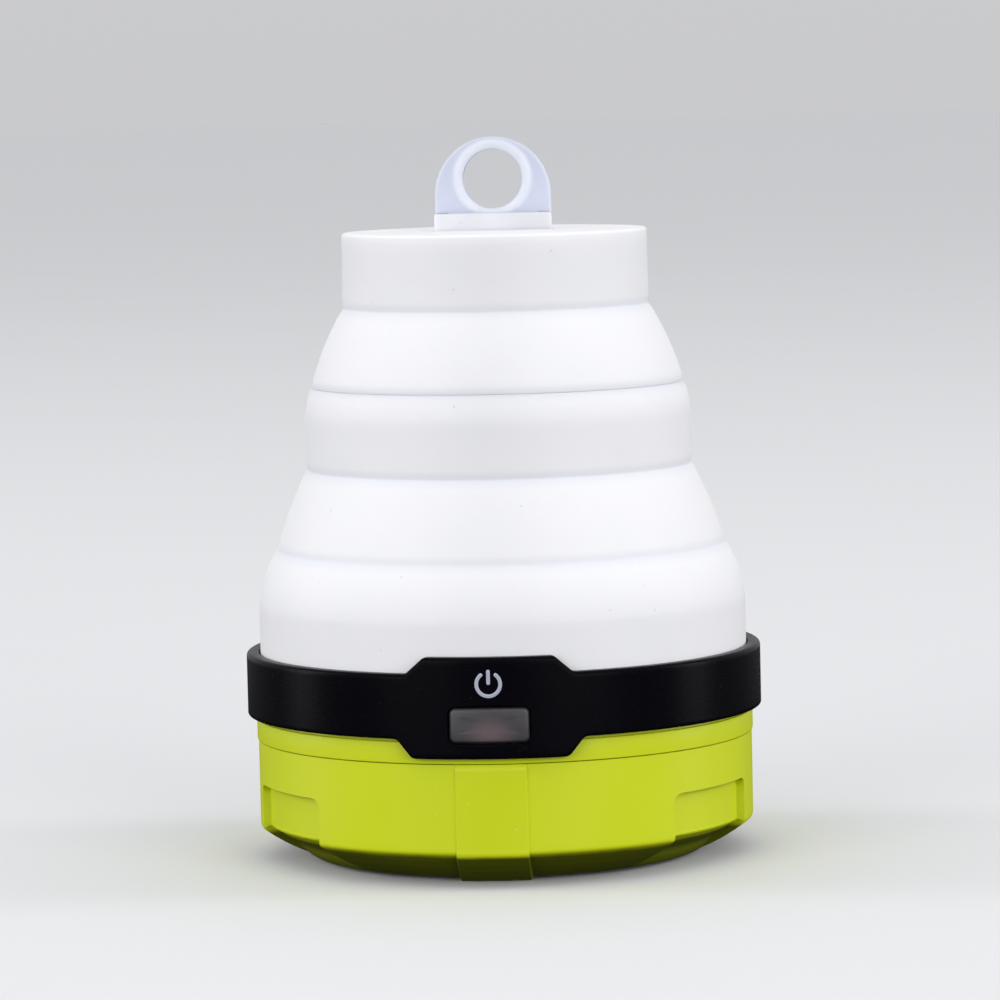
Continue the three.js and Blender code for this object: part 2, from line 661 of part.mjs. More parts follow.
/** The flat contact at a cell's nub and the coil spring at its other end. */
function buildContacts(y, row) {
  const side = cellSide(row);
  const wall = bayHalf - CLEARANCE;
  const plateX = side * (wall - CONTACT_PLATE / 2);
  const contact = block([CONTACT_PLATE, CONTACT_SIZE, CONTACT_SIZE], plateX, y, cellZ);
  add(`contact_plate_${row + 1}`, contact, steel());
  const far = wall - SPRING_WIRE;
  const near = CELL_LENGTH / 2 + CLEARANCE + SPRING_WIRE;
  class Coil extends THREE.Curve {
    getPoint(t, target = new THREE.Vector3()) {
      const turn = 2 * Math.PI * SPRING_TURNS * t;
      const x = -side * (near + (far - near) * t);
      return target.set(x, y + SPRING_RADIUS * Math.cos(turn), cellZ + SPRING_RADIUS * Math.sin(turn));
    }
  }
  add(`contact_spring_${row + 1}`, wire(new Coil(), SPRING_WIRE, SPRING_STEPS), steel());
}

// ------------------------------------------------------------------ boards and lights
function buildControlBoard() {
  const drill = (x, y, radius) => post(x, y, radius + CLEARANCE, boardLow - PAST, boardTop + PAST);
  const holes = [
    ...trayPosts.map(([x, y]) => drill(x, y, POST_RADIUS)),
    ...BOARD_POSTS.map(([x, y]) => drill(x, y, SCREW_SHANK_RADIUS)),
  ];
  add("control_board", cut(plate(trayRadius, boardLow, boardTop), ...holes), circuit());
  BOARD_POSTS.forEach(([x, y], i) =>
    add(`board_screw_${i + 1}`, screw(x, y, boardLow - CLEARANCE - SCREW_HEAD), steel()));
}

function ledPlaces() {
  return LED_ANGLES.map((angle) => onCircle(LED_CIRCLE, angle));
}

function buildLights() {
  add("light_board", plate(LIGHT_BOARD_RADIUS, deckTop + CLEARANCE, lightBoardTop), steel());
  ledPlaces().forEach(([x, y], i) =>
    add(`led_${i + 1}`, block(LED_SIZE, x, y, ledLow + LED_SIZE[2] / 2), ledYellow()));
  const dish = revolve([
    [0, ledLow],
    [LIGHT_BOARD_RADIUS + CLEARANCE, ledLow],
    [LIGHT_BOARD_RADIUS + CLEARANCE, deckTop + CLEARANCE],
    [clampInside - CLEARANCE, deckTop + CLEARANCE],
    [clampInside - CLEARANCE, clampTop],
    [clampInside - CLEARANCE - REFLECTOR_RIM, clampTop],
    [LIGHT_BOARD_RADIUS, reflectorTop],
    [0, reflectorTop],
  ]);
  const window = (LED_SIZE[0] * Math.SQRT2) / 2 + CLEARANCE;
  const windows = ledPlaces().map(([x, y]) => post(x, y, window, ledLow - PAST, reflectorTop + PAST));
  add("reflector", cut(dish, ...windows), whitePlastic());
}

/** The two leads from the control board up through the deck to the light board's edge. */
function buildLeads() {
  const start = boardTop + CLEARANCE;
  const [footX, footY] = LEAD_FOOT;
  for (const [name, side] of [["lead_positive", 1], ["lead_negative", -1]]) {
    const x = side * LEAD_SPREAD;
    const curve = new THREE.CatmullRomCurve3([
      new THREE.Vector3(side * footX, footY, start),
      new THREE.Vector3(side * footX, footY, start + LEAD_RISE),
      new THREE.Vector3(x, (footY + LEAD_HOLE_Y) / 2, (start + deckLow) / 2),
      new THREE.Vector3(x, LEAD_HOLE_Y, deckLow),
      new THREE.Vector3(x, LEAD_HOLE_Y, deckTop - LEAD_RADIUS),
    ]);
    add(name, wire(curve, LEAD_RADIUS, LEAD_STEPS), side > 0 ? finish(0xb02020, 0.6) : rubber());
  }
}

// ------------------------------------------------------------------ silicone shade
/** A wall of silicone behind an outside profile that climbs from its first point to its last. */
function shadeWall(outside) {
  const inside = shifted(outside, -SHADE_WALL).reverse();
  return revolve([...outside, ...inside, outside[0]]);
}

const lifted = ({ radius, height }) => [radius, height + CLEARANCE / 2];
const lowered = ({ radius, height }) => [radius, height - CLEARANCE / 2];

function lowerTier() {
  const crease = creases[0];
  const shoulder = swollenLine(
    [shadeRadius, crease.height - SHOULDER_LOW], lowered(crease), SHOULDER_LOW_BULGE, CURVE_STEPS);
  const inside = shifted(shoulder, -SHADE_WALL).reverse();
  const tier = revolve([
    [flangeInside, flangeLow],
    [shadeRadius, flangeLow],
    ...shoulder,
    ...inside,
    [shadeInside, flangeHigh],
    [flangeInside, flangeHigh],
    [flangeInside, flangeLow],
  ]);
  const holes = clampScrewPlaces().map(([x, y]) =>
    post(x, y, SCREW_SHANK_RADIUS + CLEARANCE, flangeLow - PAST, flangeHigh + PAST));
  return cut(tier, ...holes);
}

function middleTier() {
  const [, low, high] = creases;
  const shoulder = swollenLine(
    [low.radius, high.height - SHOULDER_MIDDLE], lowered(high), SHOULDER_MIDDLE_BULGE, CURVE_STEPS);
  return shadeWall([lifted(low), ...shoulder]);
}

function fold(low, high, bulge) {
  return shadeWall(swollenLine(lifted(low), lowered(high), bulge, CURVE_STEPS));
}

/** The top tier with its flat roof, and the boss whose ears hold the hang tab's pin. */
function topTier() {
  const crease = creases[3];
  const roofInside = crease.radius - SHADE_WALL;
  const [baseR, baseZ] = lifted(crease);
  const cap = revolve([
    [roofInside, baseZ],
    [baseR, baseZ],
    ...quarterRound([crease.radius, shadeTop - SHADE_TOP_ROUND], [crease.radius - SHADE_TOP_ROUND, shadeTop]),
    [0, shadeTop],
    [0, shadeTop - SHADE_TOP_THICKNESS],
    [roofInside, shadeTop - SHADE_TOP_THICKNESS],
    [roofInside, baseZ],
  ]);
  const sunk = SHADE_TOP_THICKNESS / 2;
  const front = -TAB_THICKNESS / 2 - CLEARANCE - BOSS_WALL;
  const apron = block([BOSS_WIDTH, BOSS_WALL, BOSS_HEIGHT + sunk],
    0, front + BOSS_WALL / 2, shadeTop + (BOSS_HEIGHT - sunk) / 2);
  const ears = [-1, 1].map((side) => block([EAR_WIDTH, EAR_REACH - front, BOSS_HEIGHT + sunk],
    side * (BOSS_WIDTH - EAR_WIDTH) / 2, (EAR_REACH + front) / 2, shadeTop + (BOSS_HEIGHT - sunk) / 2));
  const bore = crossBar(PIN_RADIUS + CLEARANCE, REACH, 0, pinZ);
  return cut(join(cap, apron, ...ears), bore);
}

function buildShade() {
  add("shade_lower_tier", lowerTier(), silicone());
  add("shade_lower_fold", fold(creases[0], creases[1], FOLD_BULGE_LOW), silicone());
  add("shade_middle_tier", middleTier(), silicone());
  add("shade_upper_fold", fold(creases[2], creases[3], FOLD_BULGE_HIGH), silicone());
  add("shade_top", topTier(), silicone());
}

/** The ring that clamps the shade's flange to the deck, and its three screws. */
function buildClamp() {
  const blank = revolve([
    [clampInside, flangeLow],
    [flangeInside - CLEARANCE, flangeLow],
    [flangeInside - CLEARANCE, clampLow],
    [clampRadius, clampLow],
    [clampRadius, clampTop],
    [clampInside, clampTop],
    [clampInside, flangeLow],
  ]);
  const holes = clampScrewPlaces().flatMap(([x, y]) => [
    post(x, y, SCREW_SHANK_RADIUS + CLEARANCE, flangeLow - PAST, clampTop + PAST),
    post(x, y, SCREW_HEAD_RADIUS + CLEARANCE, clampTop - SCREW_HEAD, clampTop + PAST),
  ]);
  add("shade_clamp_ring", cut(blank, ...holes), whitePlastic());
  const shank = clampTop - deckLow - SCREW_HEAD;
  clampScrewPlaces().forEach(([x, y], i) =>
    add(`clamp_screw_${i + 1}`, screw(x, y, clampTop + CLEARANCE, false, shank), steel()));
}

// ------------------------------------------------------------------ hang tab
function buildHangTab() {
  const half = TAB_WIDTH / 2;
  const foot = earInside - CLEARANCE;
  const outline = new THREE.Shape()
    .moveTo(-foot, pinZ)
    .lineTo(foot, pinZ)
    .lineTo(foot, tabSkirtLow)
    .lineTo(half, tabSkirtLow)
    .lineTo(half, tabArchZ)
    .absarc(0, tabArchZ, half, 0, Math.PI)
    .lineTo(-half, tabSkirtLow)
    .lineTo(-foot, tabSkirtLow)
    .closePath();
  const settings = { bevelEnabled: false, curveSegments: 2 * SMALL_STEPS };
  const flat = (shape, thickness) => new THREE.ExtrudeGeometry(shape, { ...settings, depth: thickness })
    .rotateX(Math.PI / 2).translate(0, thickness / 2, 0);
  const circle = (radius) => new THREE.Shape().absarc(0, tabEyeZ, radius, 0, 2 * Math.PI);
  const eye = flat(circle(TAB_EYE_RADIUS), REACH);
  const body = join(
    flat(outline, TAB_THICKNESS),
    flat(circle(tabRimRadius), TAB_RIM_THICKNESS),
    crossBar(TAB_THICKNESS / 2, 2 * foot, 0, pinZ));
  add("hang_tab", cut(body, eye, crossBar(PIN_RADIUS + CLEARANCE, REACH, 0, pinZ)), clearTab());
  add("tab_pin", crossBar(PIN_RADIUS, BOSS_WIDTH - 2 * CLEARANCE, 0, pinZ), steel());
}

buildCover();
buildSeal();
buildHousing();
buildTray();
buildCells();
buildControlBoard();
buildButton();
buildBand();
buildLights();
buildLeads();
buildClamp();
buildShade();
buildHangTab();

export default lantern;
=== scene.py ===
"""The looks of a collapsible camping lantern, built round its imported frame.

Each sub-assembly is a class that holds its sizes, works out its surfaces and dresses them. Sizes are in
millimetres and every finished surface is written in metres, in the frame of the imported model: +Z up and the
button towards -Y. Angles about the axis are counted from the front.
"""

from __future__ import annotations

import json
import logging
import math
from dataclasses import dataclass, field, replace
from enum import Enum
from typing import Any, Callable, Mapping, Sequence, Union

import bpy
import numpy as np
from mathutils import Matrix, Vector

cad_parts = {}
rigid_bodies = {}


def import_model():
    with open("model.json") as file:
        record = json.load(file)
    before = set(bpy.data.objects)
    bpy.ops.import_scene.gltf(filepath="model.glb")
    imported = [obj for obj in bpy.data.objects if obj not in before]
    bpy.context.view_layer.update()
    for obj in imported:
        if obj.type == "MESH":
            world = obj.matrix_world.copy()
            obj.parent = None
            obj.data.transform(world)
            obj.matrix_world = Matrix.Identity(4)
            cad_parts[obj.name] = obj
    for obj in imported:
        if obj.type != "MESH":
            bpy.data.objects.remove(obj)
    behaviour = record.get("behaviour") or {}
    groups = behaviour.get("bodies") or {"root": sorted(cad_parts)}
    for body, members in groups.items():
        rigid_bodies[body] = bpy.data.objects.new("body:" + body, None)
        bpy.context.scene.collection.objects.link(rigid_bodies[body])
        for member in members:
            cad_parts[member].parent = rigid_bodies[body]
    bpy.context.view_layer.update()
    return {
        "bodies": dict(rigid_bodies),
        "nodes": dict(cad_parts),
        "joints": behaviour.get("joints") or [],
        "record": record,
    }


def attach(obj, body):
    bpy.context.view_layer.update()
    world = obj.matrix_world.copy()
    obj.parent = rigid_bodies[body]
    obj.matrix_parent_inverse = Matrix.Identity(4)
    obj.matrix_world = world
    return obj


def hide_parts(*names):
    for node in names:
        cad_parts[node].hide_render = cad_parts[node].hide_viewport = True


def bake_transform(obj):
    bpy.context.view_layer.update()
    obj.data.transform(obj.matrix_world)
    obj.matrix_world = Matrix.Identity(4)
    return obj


LOG = logging.getLogger("lantern")
MM = 0.001
SHARP_ANGLE = 40.0

Array = np.ndarray
Corner = tuple[float, float, float]


class Body(str, Enum):
    """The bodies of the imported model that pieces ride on."""

    LAMP = "lamp"
    COVER = "cover"
    BUTTON = "button"
    MIDDLE = "shade_middle"
    UPPER = "shade_upper"
    TAB = "tab"


# ---------------------------------------------------------------------------------------- curves and surfaces


def smoothstep(low: float, high: float, values: Array) -> Array:
    """Ramp from 0 at low to 1 at high, level at both ends: 3t^2 - 2t^3.

    Args:
        low: Value where the ramp starts.
        high: Value where it ends, which may be below low.
        values: Values to map.

    Returns:
        The ramp's height at each value.
    """
    t = np.clip((values - low) / (high - low), 0.0, 1.0)
    return t * t * (3.0 - 2.0 * t)


def unit(vector: Array) -> Array:
    """A vector scaled to length 1."""
    return vector / np.linalg.norm(vector)


def fillet(before: Array, corner: Array, after: Array, radius: float, steps: int) -> Array:
    """The arc of a radius that touches both sides of a corner.

    The centre lies on the corner's bisector at radius / sin(half angle), and the arc swings from one touching
    point to the other.

    Args:
        before: Point on the side that comes in.
        corner: The corner.
        after: Point on the side that goes out.
        radius: The arc's radius.
        steps: Number of chords along the arc.

    Returns:
        The arc's points, (steps + 1, 2).
    """
    side_in, side_out = unit(before - corner), unit(after - corner)
    half = math.acos(float(np.clip(side_in @ side_out, -1.0, 1.0))) / 2
    reach = radius / math.tan(half)
    centre = corner + unit(side_in + side_out) * radius / math.sin(half)
    first, last = corner + side_in * reach - centre, corner + side_out * reach - centre
    sweep = math.pi - 2 * half
    t = np.linspace(0.0, 1.0, steps + 1)[:, None]
    return centre + (np.sin((1 - t) * sweep) * first + np.sin(t * sweep) * last) / math.sin(sweep)


def rounded_path(corners: Sequence[Corner], closed: bool = False, steps: int = 5) -> Array:
    """A line through corners, each rounded by its own radius.

    Args:
        corners: (across, up, radius) of each corner; radius 0 keeps it sharp.
        closed: Whether the line returns to its first corner.
        steps: Chords along each arc.

    Returns:
        The line's points, (n, 2).
    """
    places = np.array([corner[:2] for corner in corners], float)
    parts = []
    for i, (place, (*_, radius)) in enumerate(zip(places, corners)):
        inside = closed or 0 < i < len(corners) - 1
        if inside and radius > 0:
            after = places[(i + 1) % len(places)]
            parts.append(fillet(places[i - 1], place, after, radius, steps))
        else:
            parts.append(place[None])
    return np.vstack(parts)


def refined(path: Array, spacing: Callable[[Array], float]) -> Array:
    """A path with points added where its steps are longer than wanted.

    Args:
        path: Points, (n, 2).
        spacing: Longest step allowed near a given point.

    Returns:
        The path with the same shape and more points.
    """
    parts = []
    for start, end in zip(path[:-1], path[1:]):
        length = float(np.linalg.norm(end - start))
        places = [0.0]
        while places[-1] < length:
            here = start + (end - start) * places[-1] / max(length, 1e-9)
            places.append(places[-1] + spacing(here))
        share = np.array(places[:-1])[:, None] / max(length, 1e-9)
        close_to_end = (1.0 - share[:, 0]) * length < 0.35 * spacing(end)
        keep = ~close_to_end
        keep[0] = True
        parts.append((start + (end - start) * share)[keep])
    return np.vstack([*parts, path[-1:]])


def swollen_line(start: Sequence[float], end: Sequence[float], bulge: float, steps: int = 24) -> Array:
    """A parabola from start to end whose middle stands a bulge to the right of the straight line.

    Args:
        start: First point.
        end: Last point.
        bulge: How far the middle stands off.
        steps: Chords along it.

    Returns:
        Its points, (steps + 1, 2).
    """
    first, last = np.array(start, float), np.array(end, float)
    along = unit(last - first)
    normal = np.array([along[1], -along[0]])
    t = np.linspace(0.0, 1.0, steps + 1)[:, None]
    return first + (last - first) * t + normal * 4 * bulge * t * (1 - t)


def outward_normals(path: Array) -> Array:
    """Unit normals to the right of a path, from the mean of the steps on both sides of each point."""
    steps = np.gradient(path, axis=0)
    normals = np.stack([steps[:, 1], -steps[:, 0]], axis=1)
    return normals / np.maximum(np.linalg.norm(normals, axis=1, keepdims=True), 1e-9)


def turned(radius: Array, height: Array, angle: Array) -> Array:
    """Points at a radius, a height and an angle from the front: (r sin a, -r cos a, z)."""
    radius, height, angle = np.broadcast_arrays(radius, height, angle)
    return np.stack([radius * np.sin(angle), -radius * np.cos(angle), height], axis=-1)


def strip_faces(lower: Array, upper: Array) -> Array:
    """Quads between two rows of vertex numbers, or rows of rows, that close on themselves."""
    faces = [lower, np.roll(lower, -1, axis=-1), np.roll(upper, -1, axis=-1), upper]
    return np.stack(faces, axis=-1).reshape(-1, 4)


def signed_volume(points: Array, faces: Array) -> float:
    """Volume enclosed by faces, negative where they point inwards: the sum of a.(b x c) / 6 of their fans."""
    total = 0.0
    for k in range(1, faces.shape[1] - 1):
        a, b, c = points[faces[:, 0]], points[faces[:, k]], points[faces[:, k + 1]]
        total += float(np.einsum("ij,ij->i", a, np.cross(b, c)).sum()) / 6
    return total


def closed_surface(name: str, rings: Array, poles: bool) -> bpy.types.Object:
    """A closed surface over a grid of points.

    Args:
        name: The piece's name.
        rings: (path, around, 3) points in millimetres; the rings close on themselves.
        poles: Whether the first and last rings are single points. If not, the path closes on itself.

    Returns:
        The piece, its faces pointing outwards.
    """
    count, around = rings.shape[:2]
    if poles:
        middle = rings[1:-1].reshape(-1, 3)
        points = np.vstack([rings[0].mean(0)[None], middle, rings[-1].mean(0)[None]])
        index = np.arange(len(middle)).reshape(count - 2, around) + 1
        quads = strip_faces(index[:-1], index[1:])
        first, last = index[0], index[-1]
        start_fan = np.stack([np.zeros(around, int), np.roll(first, -1), first], axis=1)
        end_fan = np.stack([np.full(around, len(points) - 1), last, np.roll(last, -1)], axis=1)
        triangles = np.vstack([start_fan, end_fan])
    else:
        points = rings.reshape(-1, 3)
        index = np.arange(len(points)).reshape(count, around)
        quads = strip_faces(index, np.roll(index, -1, axis=0))
        triangles = np.zeros((0, 3), int)
    volume = signed_volume(points, quads)
    if len(triangles):
        volume += signed_volume(points, triangles)
    if volume < 0:
        quads, triangles = quads[:, ::-1], triangles[:, ::-1]
    return mesh_piece(name, points * MM, [*quads.tolist(), *triangles.tolist()])


def mesh_piece(name: str, points: Array, faces: list[list[int]]) -> bpy.types.Object:
    """A mesh object at the origin, smooth but for its sharp edges.

    Args:
        name: The piece's name.
        points: Vertices in metres, (n, 3).
        faces: Vertex numbers of each face.

    Returns:
        The new object.
    """
    mesh = bpy.data.meshes.new(name)
    mesh.from_pydata(points.tolist(), [], faces)
    mesh.validate()
    mesh.shade_smooth()
    mesh.set_sharp_from_angle(angle=math.radians(SHARP_ANGLE))
    piece = bpy.data.objects.new(name, mesh)
    bpy.context.scene.collection.objects.link(piece)
    return piece


def revolved(name: str, profile: Array, columns: int = 288) -> bpy.types.Object:
    """A profile turned about the axis.

    Args:
        name: The piece's name.
        profile: (n, 2) radius and height; it starts and ends on the axis or is taken as a closed loop.
        columns: Divisions round the axis.

    Returns:
        The piece.
    """
    angles = np.arange(columns) * 2 * math.pi / columns
    rings = turned(profile[:, :1], profile[:, 1:], angles[None])
    return closed_surface(name, rings, poles=abs(profile[0, 0]) < 1e-9)


@dataclass(frozen=True)
class RoundedRectangle:
    """A rectangle with round corners, as nested rings of points."""

    width: float
    height: float
    corner: float
    corner_steps: int = 6
    side_steps: int = 12

    def rings(self, insets: Array, scales: Array) -> Array:
        """Rings moved in from the edge, then shrunk towards the centre.

        Args:
            insets: How far each ring lies inside the edge.
            scales: How far each ring is shrunk, 0 for a point.

        Returns:
            (ring, point, 2) places.
        """
        half_w, half_h = self.width / 2 - insets[:, None], self.height / 2 - insets[:, None]
        round_off = np.maximum(self.corner - insets[:, None], 0.05)
        sweep = np.linspace(0.0, math.pi / 2, self.corner_steps + 1)
        straight = np.linspace(0.0, 1.0, self.side_steps + 1)[None, 1:-1]
        quarters = []
        for quarter, (sx, sy) in enumerate([(1, 1), (-1, 1), (-1, -1), (1, -1)]):
            angle = sweep[None] + quarter * math.pi / 2
            x = sx * (half_w - round_off) + round_off * np.cos(angle)
            y = sy * (half_h - round_off) + round_off * np.sin(angle)
            arc = np.stack([x, y], axis=-1)
            quarters.append(arc)
        parts = []
        for quarter, arc in enumerate(quarters):
            after = quarters[(quarter + 1) % 4][:, :1]
            side = arc[:, -1:] + (after - arc[:, -1:]) * straight[..., None]
            parts += [arc, side]
        return np.concatenate(parts, axis=1) * scales[:, None, None]


def cut_away(piece: bpy.types.Object, tool: bpy.types.Object) -> None:
    """Removes a tool's volume from a piece, and the tool with it.

    Args:
        piece: The piece to cut, changed in place.
        tool: A closed solid, which is deleted.
    """
    modifier = piece.modifiers.new("cut", "BOOLEAN")
    modifier.operation, modifier.solver, modifier.object = "DIFFERENCE", "EXACT", tool
    evaluated = piece.evaluated_get(bpy.context.evaluated_depsgraph_get())
    mesh = bpy.data.meshes.new_from_object(evaluated)
    piece.modifiers.clear()
    old, piece.data = piece.data, mesh
    mesh.name = piece.name
    bpy.data.meshes.remove(old)
    bpy.data.objects.remove(tool)
    mesh.shade_smooth()
    mesh.set_sharp_from_angle(angle=math.radians(SHARP_ANGLE))


def place(piece: bpy.types.Object, body: Body, slot: str, material: bpy.types.Material) -> bpy.types.Object:
    """Dresses a piece and lets it ride on a body.

    Args:
        piece: The piece.
        body: The body that it moves with.
        slot: Not used.
        material: Its material.

    Returns:
        The same piece.
    """
    dress(piece, material)
    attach(piece, body.value)
    LOG.info("%s: %d faces on %s", piece.name, len(piece.data.polygons), body.value)
    return piece


def dress(piece: bpy.types.Object, material: bpy.types.Material) -> None:
    """Gives a piece its only material."""
    piece.data.materials.clear()
    piece.data.materials.append(material)


# ---------------------------------------------------------------------------------------- shader expressions

Number = Union[float, "Value"]
Colour = tuple[float, float, float]


class Value:
    """One output socket that takes part in arithmetic."""

    def __init__(self, shader: "Shader", socket: bpy.types.NodeSocket) -> None:
        """Wraps a socket of a shader."""
        self.shader = shader
        self.socket = socket

    def _math(self, operation: str, *values: Number) -> "Value":
        """A Math node over values, in the order that the operation reads them."""
        return self.shader.node("ShaderNodeMath", {"operation": operation}, dict(enumerate(values)))[0]

    def __add__(self, other: Number) -> "Value":
        """self + other."""
        return self._math("ADD", self, other)

    __radd__ = __add__

    def __sub__(self, other: Number) -> "Value":
        """self - other."""
        return self._math("SUBTRACT", self, other)

    def __rsub__(self, other: Number) -> "Value":
        """other - self."""
        return self._math("SUBTRACT", other, self)

    def __mul__(self, other: Number) -> "Value":
        """self * other."""
        return self._math("MULTIPLY", self, other)

    __rmul__ = __mul__

    def __truediv__(self, other: Number) -> "Value":
        """self / other."""
        return self._math("DIVIDE", self, other)

    def __abs__(self) -> "Value":
        """Distance from 0."""
        return self._math("ABSOLUTE", self)

    def root(self) -> "Value":
        """Square root."""
        return self._math("SQRT", self)

    def sine(self) -> "Value":
        """Sine of an angle in radians."""
        return self._math("SINE", self)

    def ramp(self, low: float, high: float) -> "Value":
        """Smooth ramp from 0 at low to 1 at high; low may be the larger."""
        settings = {"interpolation_type": "SMOOTHSTEP"}
        if low <= high:
            return self.shader.node("ShaderNodeMapRange", settings, {0: self, 1: low, 2: high})[0]
        return self.shader.node("ShaderNodeMapRange", settings, {0: self, 1: high, 2: low, 3: 1.0, 4: 0.0})[0]


class Outputs:
    """A node's outputs, read by number or name."""

    def __init__(self, shader: "Shader", node: bpy.types.Node) -> None:
        """Keeps the node and the shader that it belongs to."""
        self.shader = shader
        self.made = node

    def __getitem__(self, key: int | str) -> Value:
        """The output with that number or name."""
        return Value(self.shader, self.made.outputs[key])


class Shader:
    """A material and the nodes behind its surface."""

    def __init__(self, name: str) -> None:
        """Starts a material with one Principled surface."""
        self.material = bpy.data.materials.new(name)
        self.material.use_nodes = True
        self.tree = self.material.node_tree
        self.tree.nodes.clear()
        output = self.tree.nodes.new("ShaderNodeOutputMaterial")
        self.surface = self.tree.nodes.new("ShaderNodeBsdfPrincipled")
        self.tree.links.new(self.surface.outputs[0], output.inputs[0])
        coordinates = self.node("ShaderNodeTexCoord")
        self.place = coordinates["Object"]
        axes = self.node("ShaderNodeSeparateXYZ", inputs={0: self.place})
        self.x, self.y, self.z = axes[0], axes[1], axes[2]

    def node(
        self, kind: str, settings: Mapping[str, Any] | None = None, inputs: Mapping[Any, Any] | None = None
    ) -> Outputs:
        """Adds a node.

        Args:
            kind: The node's type.
            settings: Its properties, set first.
            inputs: Values or links of its sockets, by number or name.

        Returns:
            The node's outputs.
        """
        made = self.tree.nodes.new(kind)
        for key, value in (settings or {}).items():
            setattr(made, key, value)
        for key, value in (inputs or {}).items():
            self.feed(made.inputs[key], value)
        return Outputs(self, made)

    def feed(self, socket: bpy.types.NodeSocket, value: Any) -> None:
        """Links a value to a socket, or sets the socket to a plain number or colour."""
        if isinstance(value, Value):
            self.tree.links.new(value.socket, socket)
        elif isinstance(value, tuple) and len(value) == 3 and socket.type == "RGBA":
            socket.default_value = (*value, 1.0)
        else:
            socket.default_value = value

    def set(self, **sockets: Any) -> None:
        """Sets or links sockets of the surface, named in lower case with underscores."""
        names = {socket.name.lower().replace(" ", "_"): socket for socket in self.surface.inputs}
        for name, value in sockets.items():
            self.feed(names[name], value)

    def noise(self, size_mm: float, detail: float = 3.0, stretch: Colour | None = None) -> Value:
        """Cloudy noise from 0 to 1 whose lumps are about size_mm across, drawn out by a stretch per axis."""
        vector = self.place
        if stretch:
            inputs = {0: self.place, 1: stretch}
            vector = self.node("ShaderNodeVectorMath", {"operation": "MULTIPLY"}, inputs)[0]
        inputs = {"Vector": vector, "Scale": 1000 / size_mm, "Detail": detail}
        return self.node("ShaderNodeTexNoise", {}, inputs)[0]

    def specks(self, size_mm: float, share: float) -> Value:
        """Sparse round specks: 1 near the points of a cell pattern whose random value is within a share."""
        cells = self.node("ShaderNodeTexVoronoi", {}, {"Vector": self.place, "Scale": 1000 / (size_mm * 6)})
        near = cells["Distance"].ramp(0.16, 0.06)
        chosen = self.node("ShaderNodeSeparateColor", {}, {0: cells["Color"]})[0].ramp(share + 0.001, share)
        return near * chosen

    def mix(self, first: Any, second: Any, share: Number) -> Value:
        """A colour between two, by a share of the second."""
        inputs = {0: share, 6: first, 7: second}
        return self.node("ShaderNodeMix", {"data_type": "RGBA"}, inputs)[2]

    def bump(self, height: Value, depth_mm: float) -> None:
        """Raises the surface's normal by a height from 0 to 1 that is depth_mm tall."""
        inputs = {"Height": height, "Distance": depth_mm * MM, "Strength": 1.0}
        self.set(normal=self.node("ShaderNodeBump", {}, inputs)["Normal"])


# ---------------------------------------------------------------------------------------- finishes


@dataclass(frozen=True)
class MouldedPlastic:
    """Satin moulded plastic: a fine grain, slow colour drift and dust, scuffs and painted shade at the floor.
    """

    name: str
    colour: Colour
    drift: Colour
    roughness: float = 0.42
    grain_mm: float = 0.35
    grain_depth: float = 0.012
    scuff_height: float = 0.0
    scuff: Colour = (0.75, 0.78, 0.45)
    # The next two fields paint shade under a height by darkening the colour to a share of itself.
    painted_shade_height: float = 0.0
    painted_shade_factor: float = 0.22

    def build(self) -> bpy.types.Material:
        """Builds the material."""
        shader = Shader(self.name)
        cloud = shader.noise(22.0, 2.0)
        grain = shader.noise(self.grain_mm, 2.0)
        flow = shader.noise(5.0, 3.0)
        colour = shader.mix(self.colour, self.drift, cloud.ramp(0.35, 0.7) * 0.6)
        dust = shader.specks(0.22, 0.08)
        colour = shader.mix(colour, self.scuff, dust * 0.35)
        rough = self.roughness + 0.10 * (grain - 0.5) + 0.08 * (flow - 0.5)
        # Painted shade: below the given height the colour darkens to a share of itself, as if in shadow under
        # the piece.
        if self.painted_shade_height:
            under = (shader.z * 1000 + 0.5 * (flow - 0.5)).ramp(self.painted_shade_height, self.painted_shade_height - 0.9)
            shade = tuple(self.painted_shade_factor * value for value in self.colour)
            colour = shader.mix(colour, shade, under * (0.9 + 0.2 * cloud))
            rough = rough + under * 0.12
        if self.scuff_height:
            low = (shader.z * 1000).ramp(self.scuff_height, 0.0)
            scratch = shader.noise(0.8, 4.0, (1.0, 1.0, 4.0)).ramp(0.52, 0.66)
            worn = low * scratch
            colour = shader.mix(colour, self.scuff, worn * 0.35)
            rough = rough + worn * 0.15
        shader.set(base_color=colour, roughness=rough, specular_ior_level=0.3)
        shader.bump(grain + 0.4 * flow, self.grain_depth)
        return shader.material


@dataclass(frozen=True)
class GlossBlack:
    """Polished black plastic with faint rub marks and a little dust."""

    name: str
    colour: Colour = (0.0022, 0.0019, 0.0034)

    def build(self) -> bpy.types.Material:
        """Builds the material."""
        shader = Shader(self.name)
        rubs = shader.noise(1.2, 5.0, (1.0, 1.0, 9.0)).ramp(0.5, 0.75)
        haze = shader.noise(9.0, 3.0)
        dust = shader.specks(0.16, 0.10)
        colour = shader.mix(self.colour, (0.035, 0.034, 0.042), dust * 0.5 + rubs * 0.03)
        shader.set(base_color=colour, roughness=0.26 + 0.10 * rubs + 0.08 * (haze - 0.5) + 0.25 * dust)
        shader.set(specular_ior_level=0.03)
        shader.bump(shader.noise(0.5, 2.0) + 0.5 * haze, 0.003)
        return shader.material


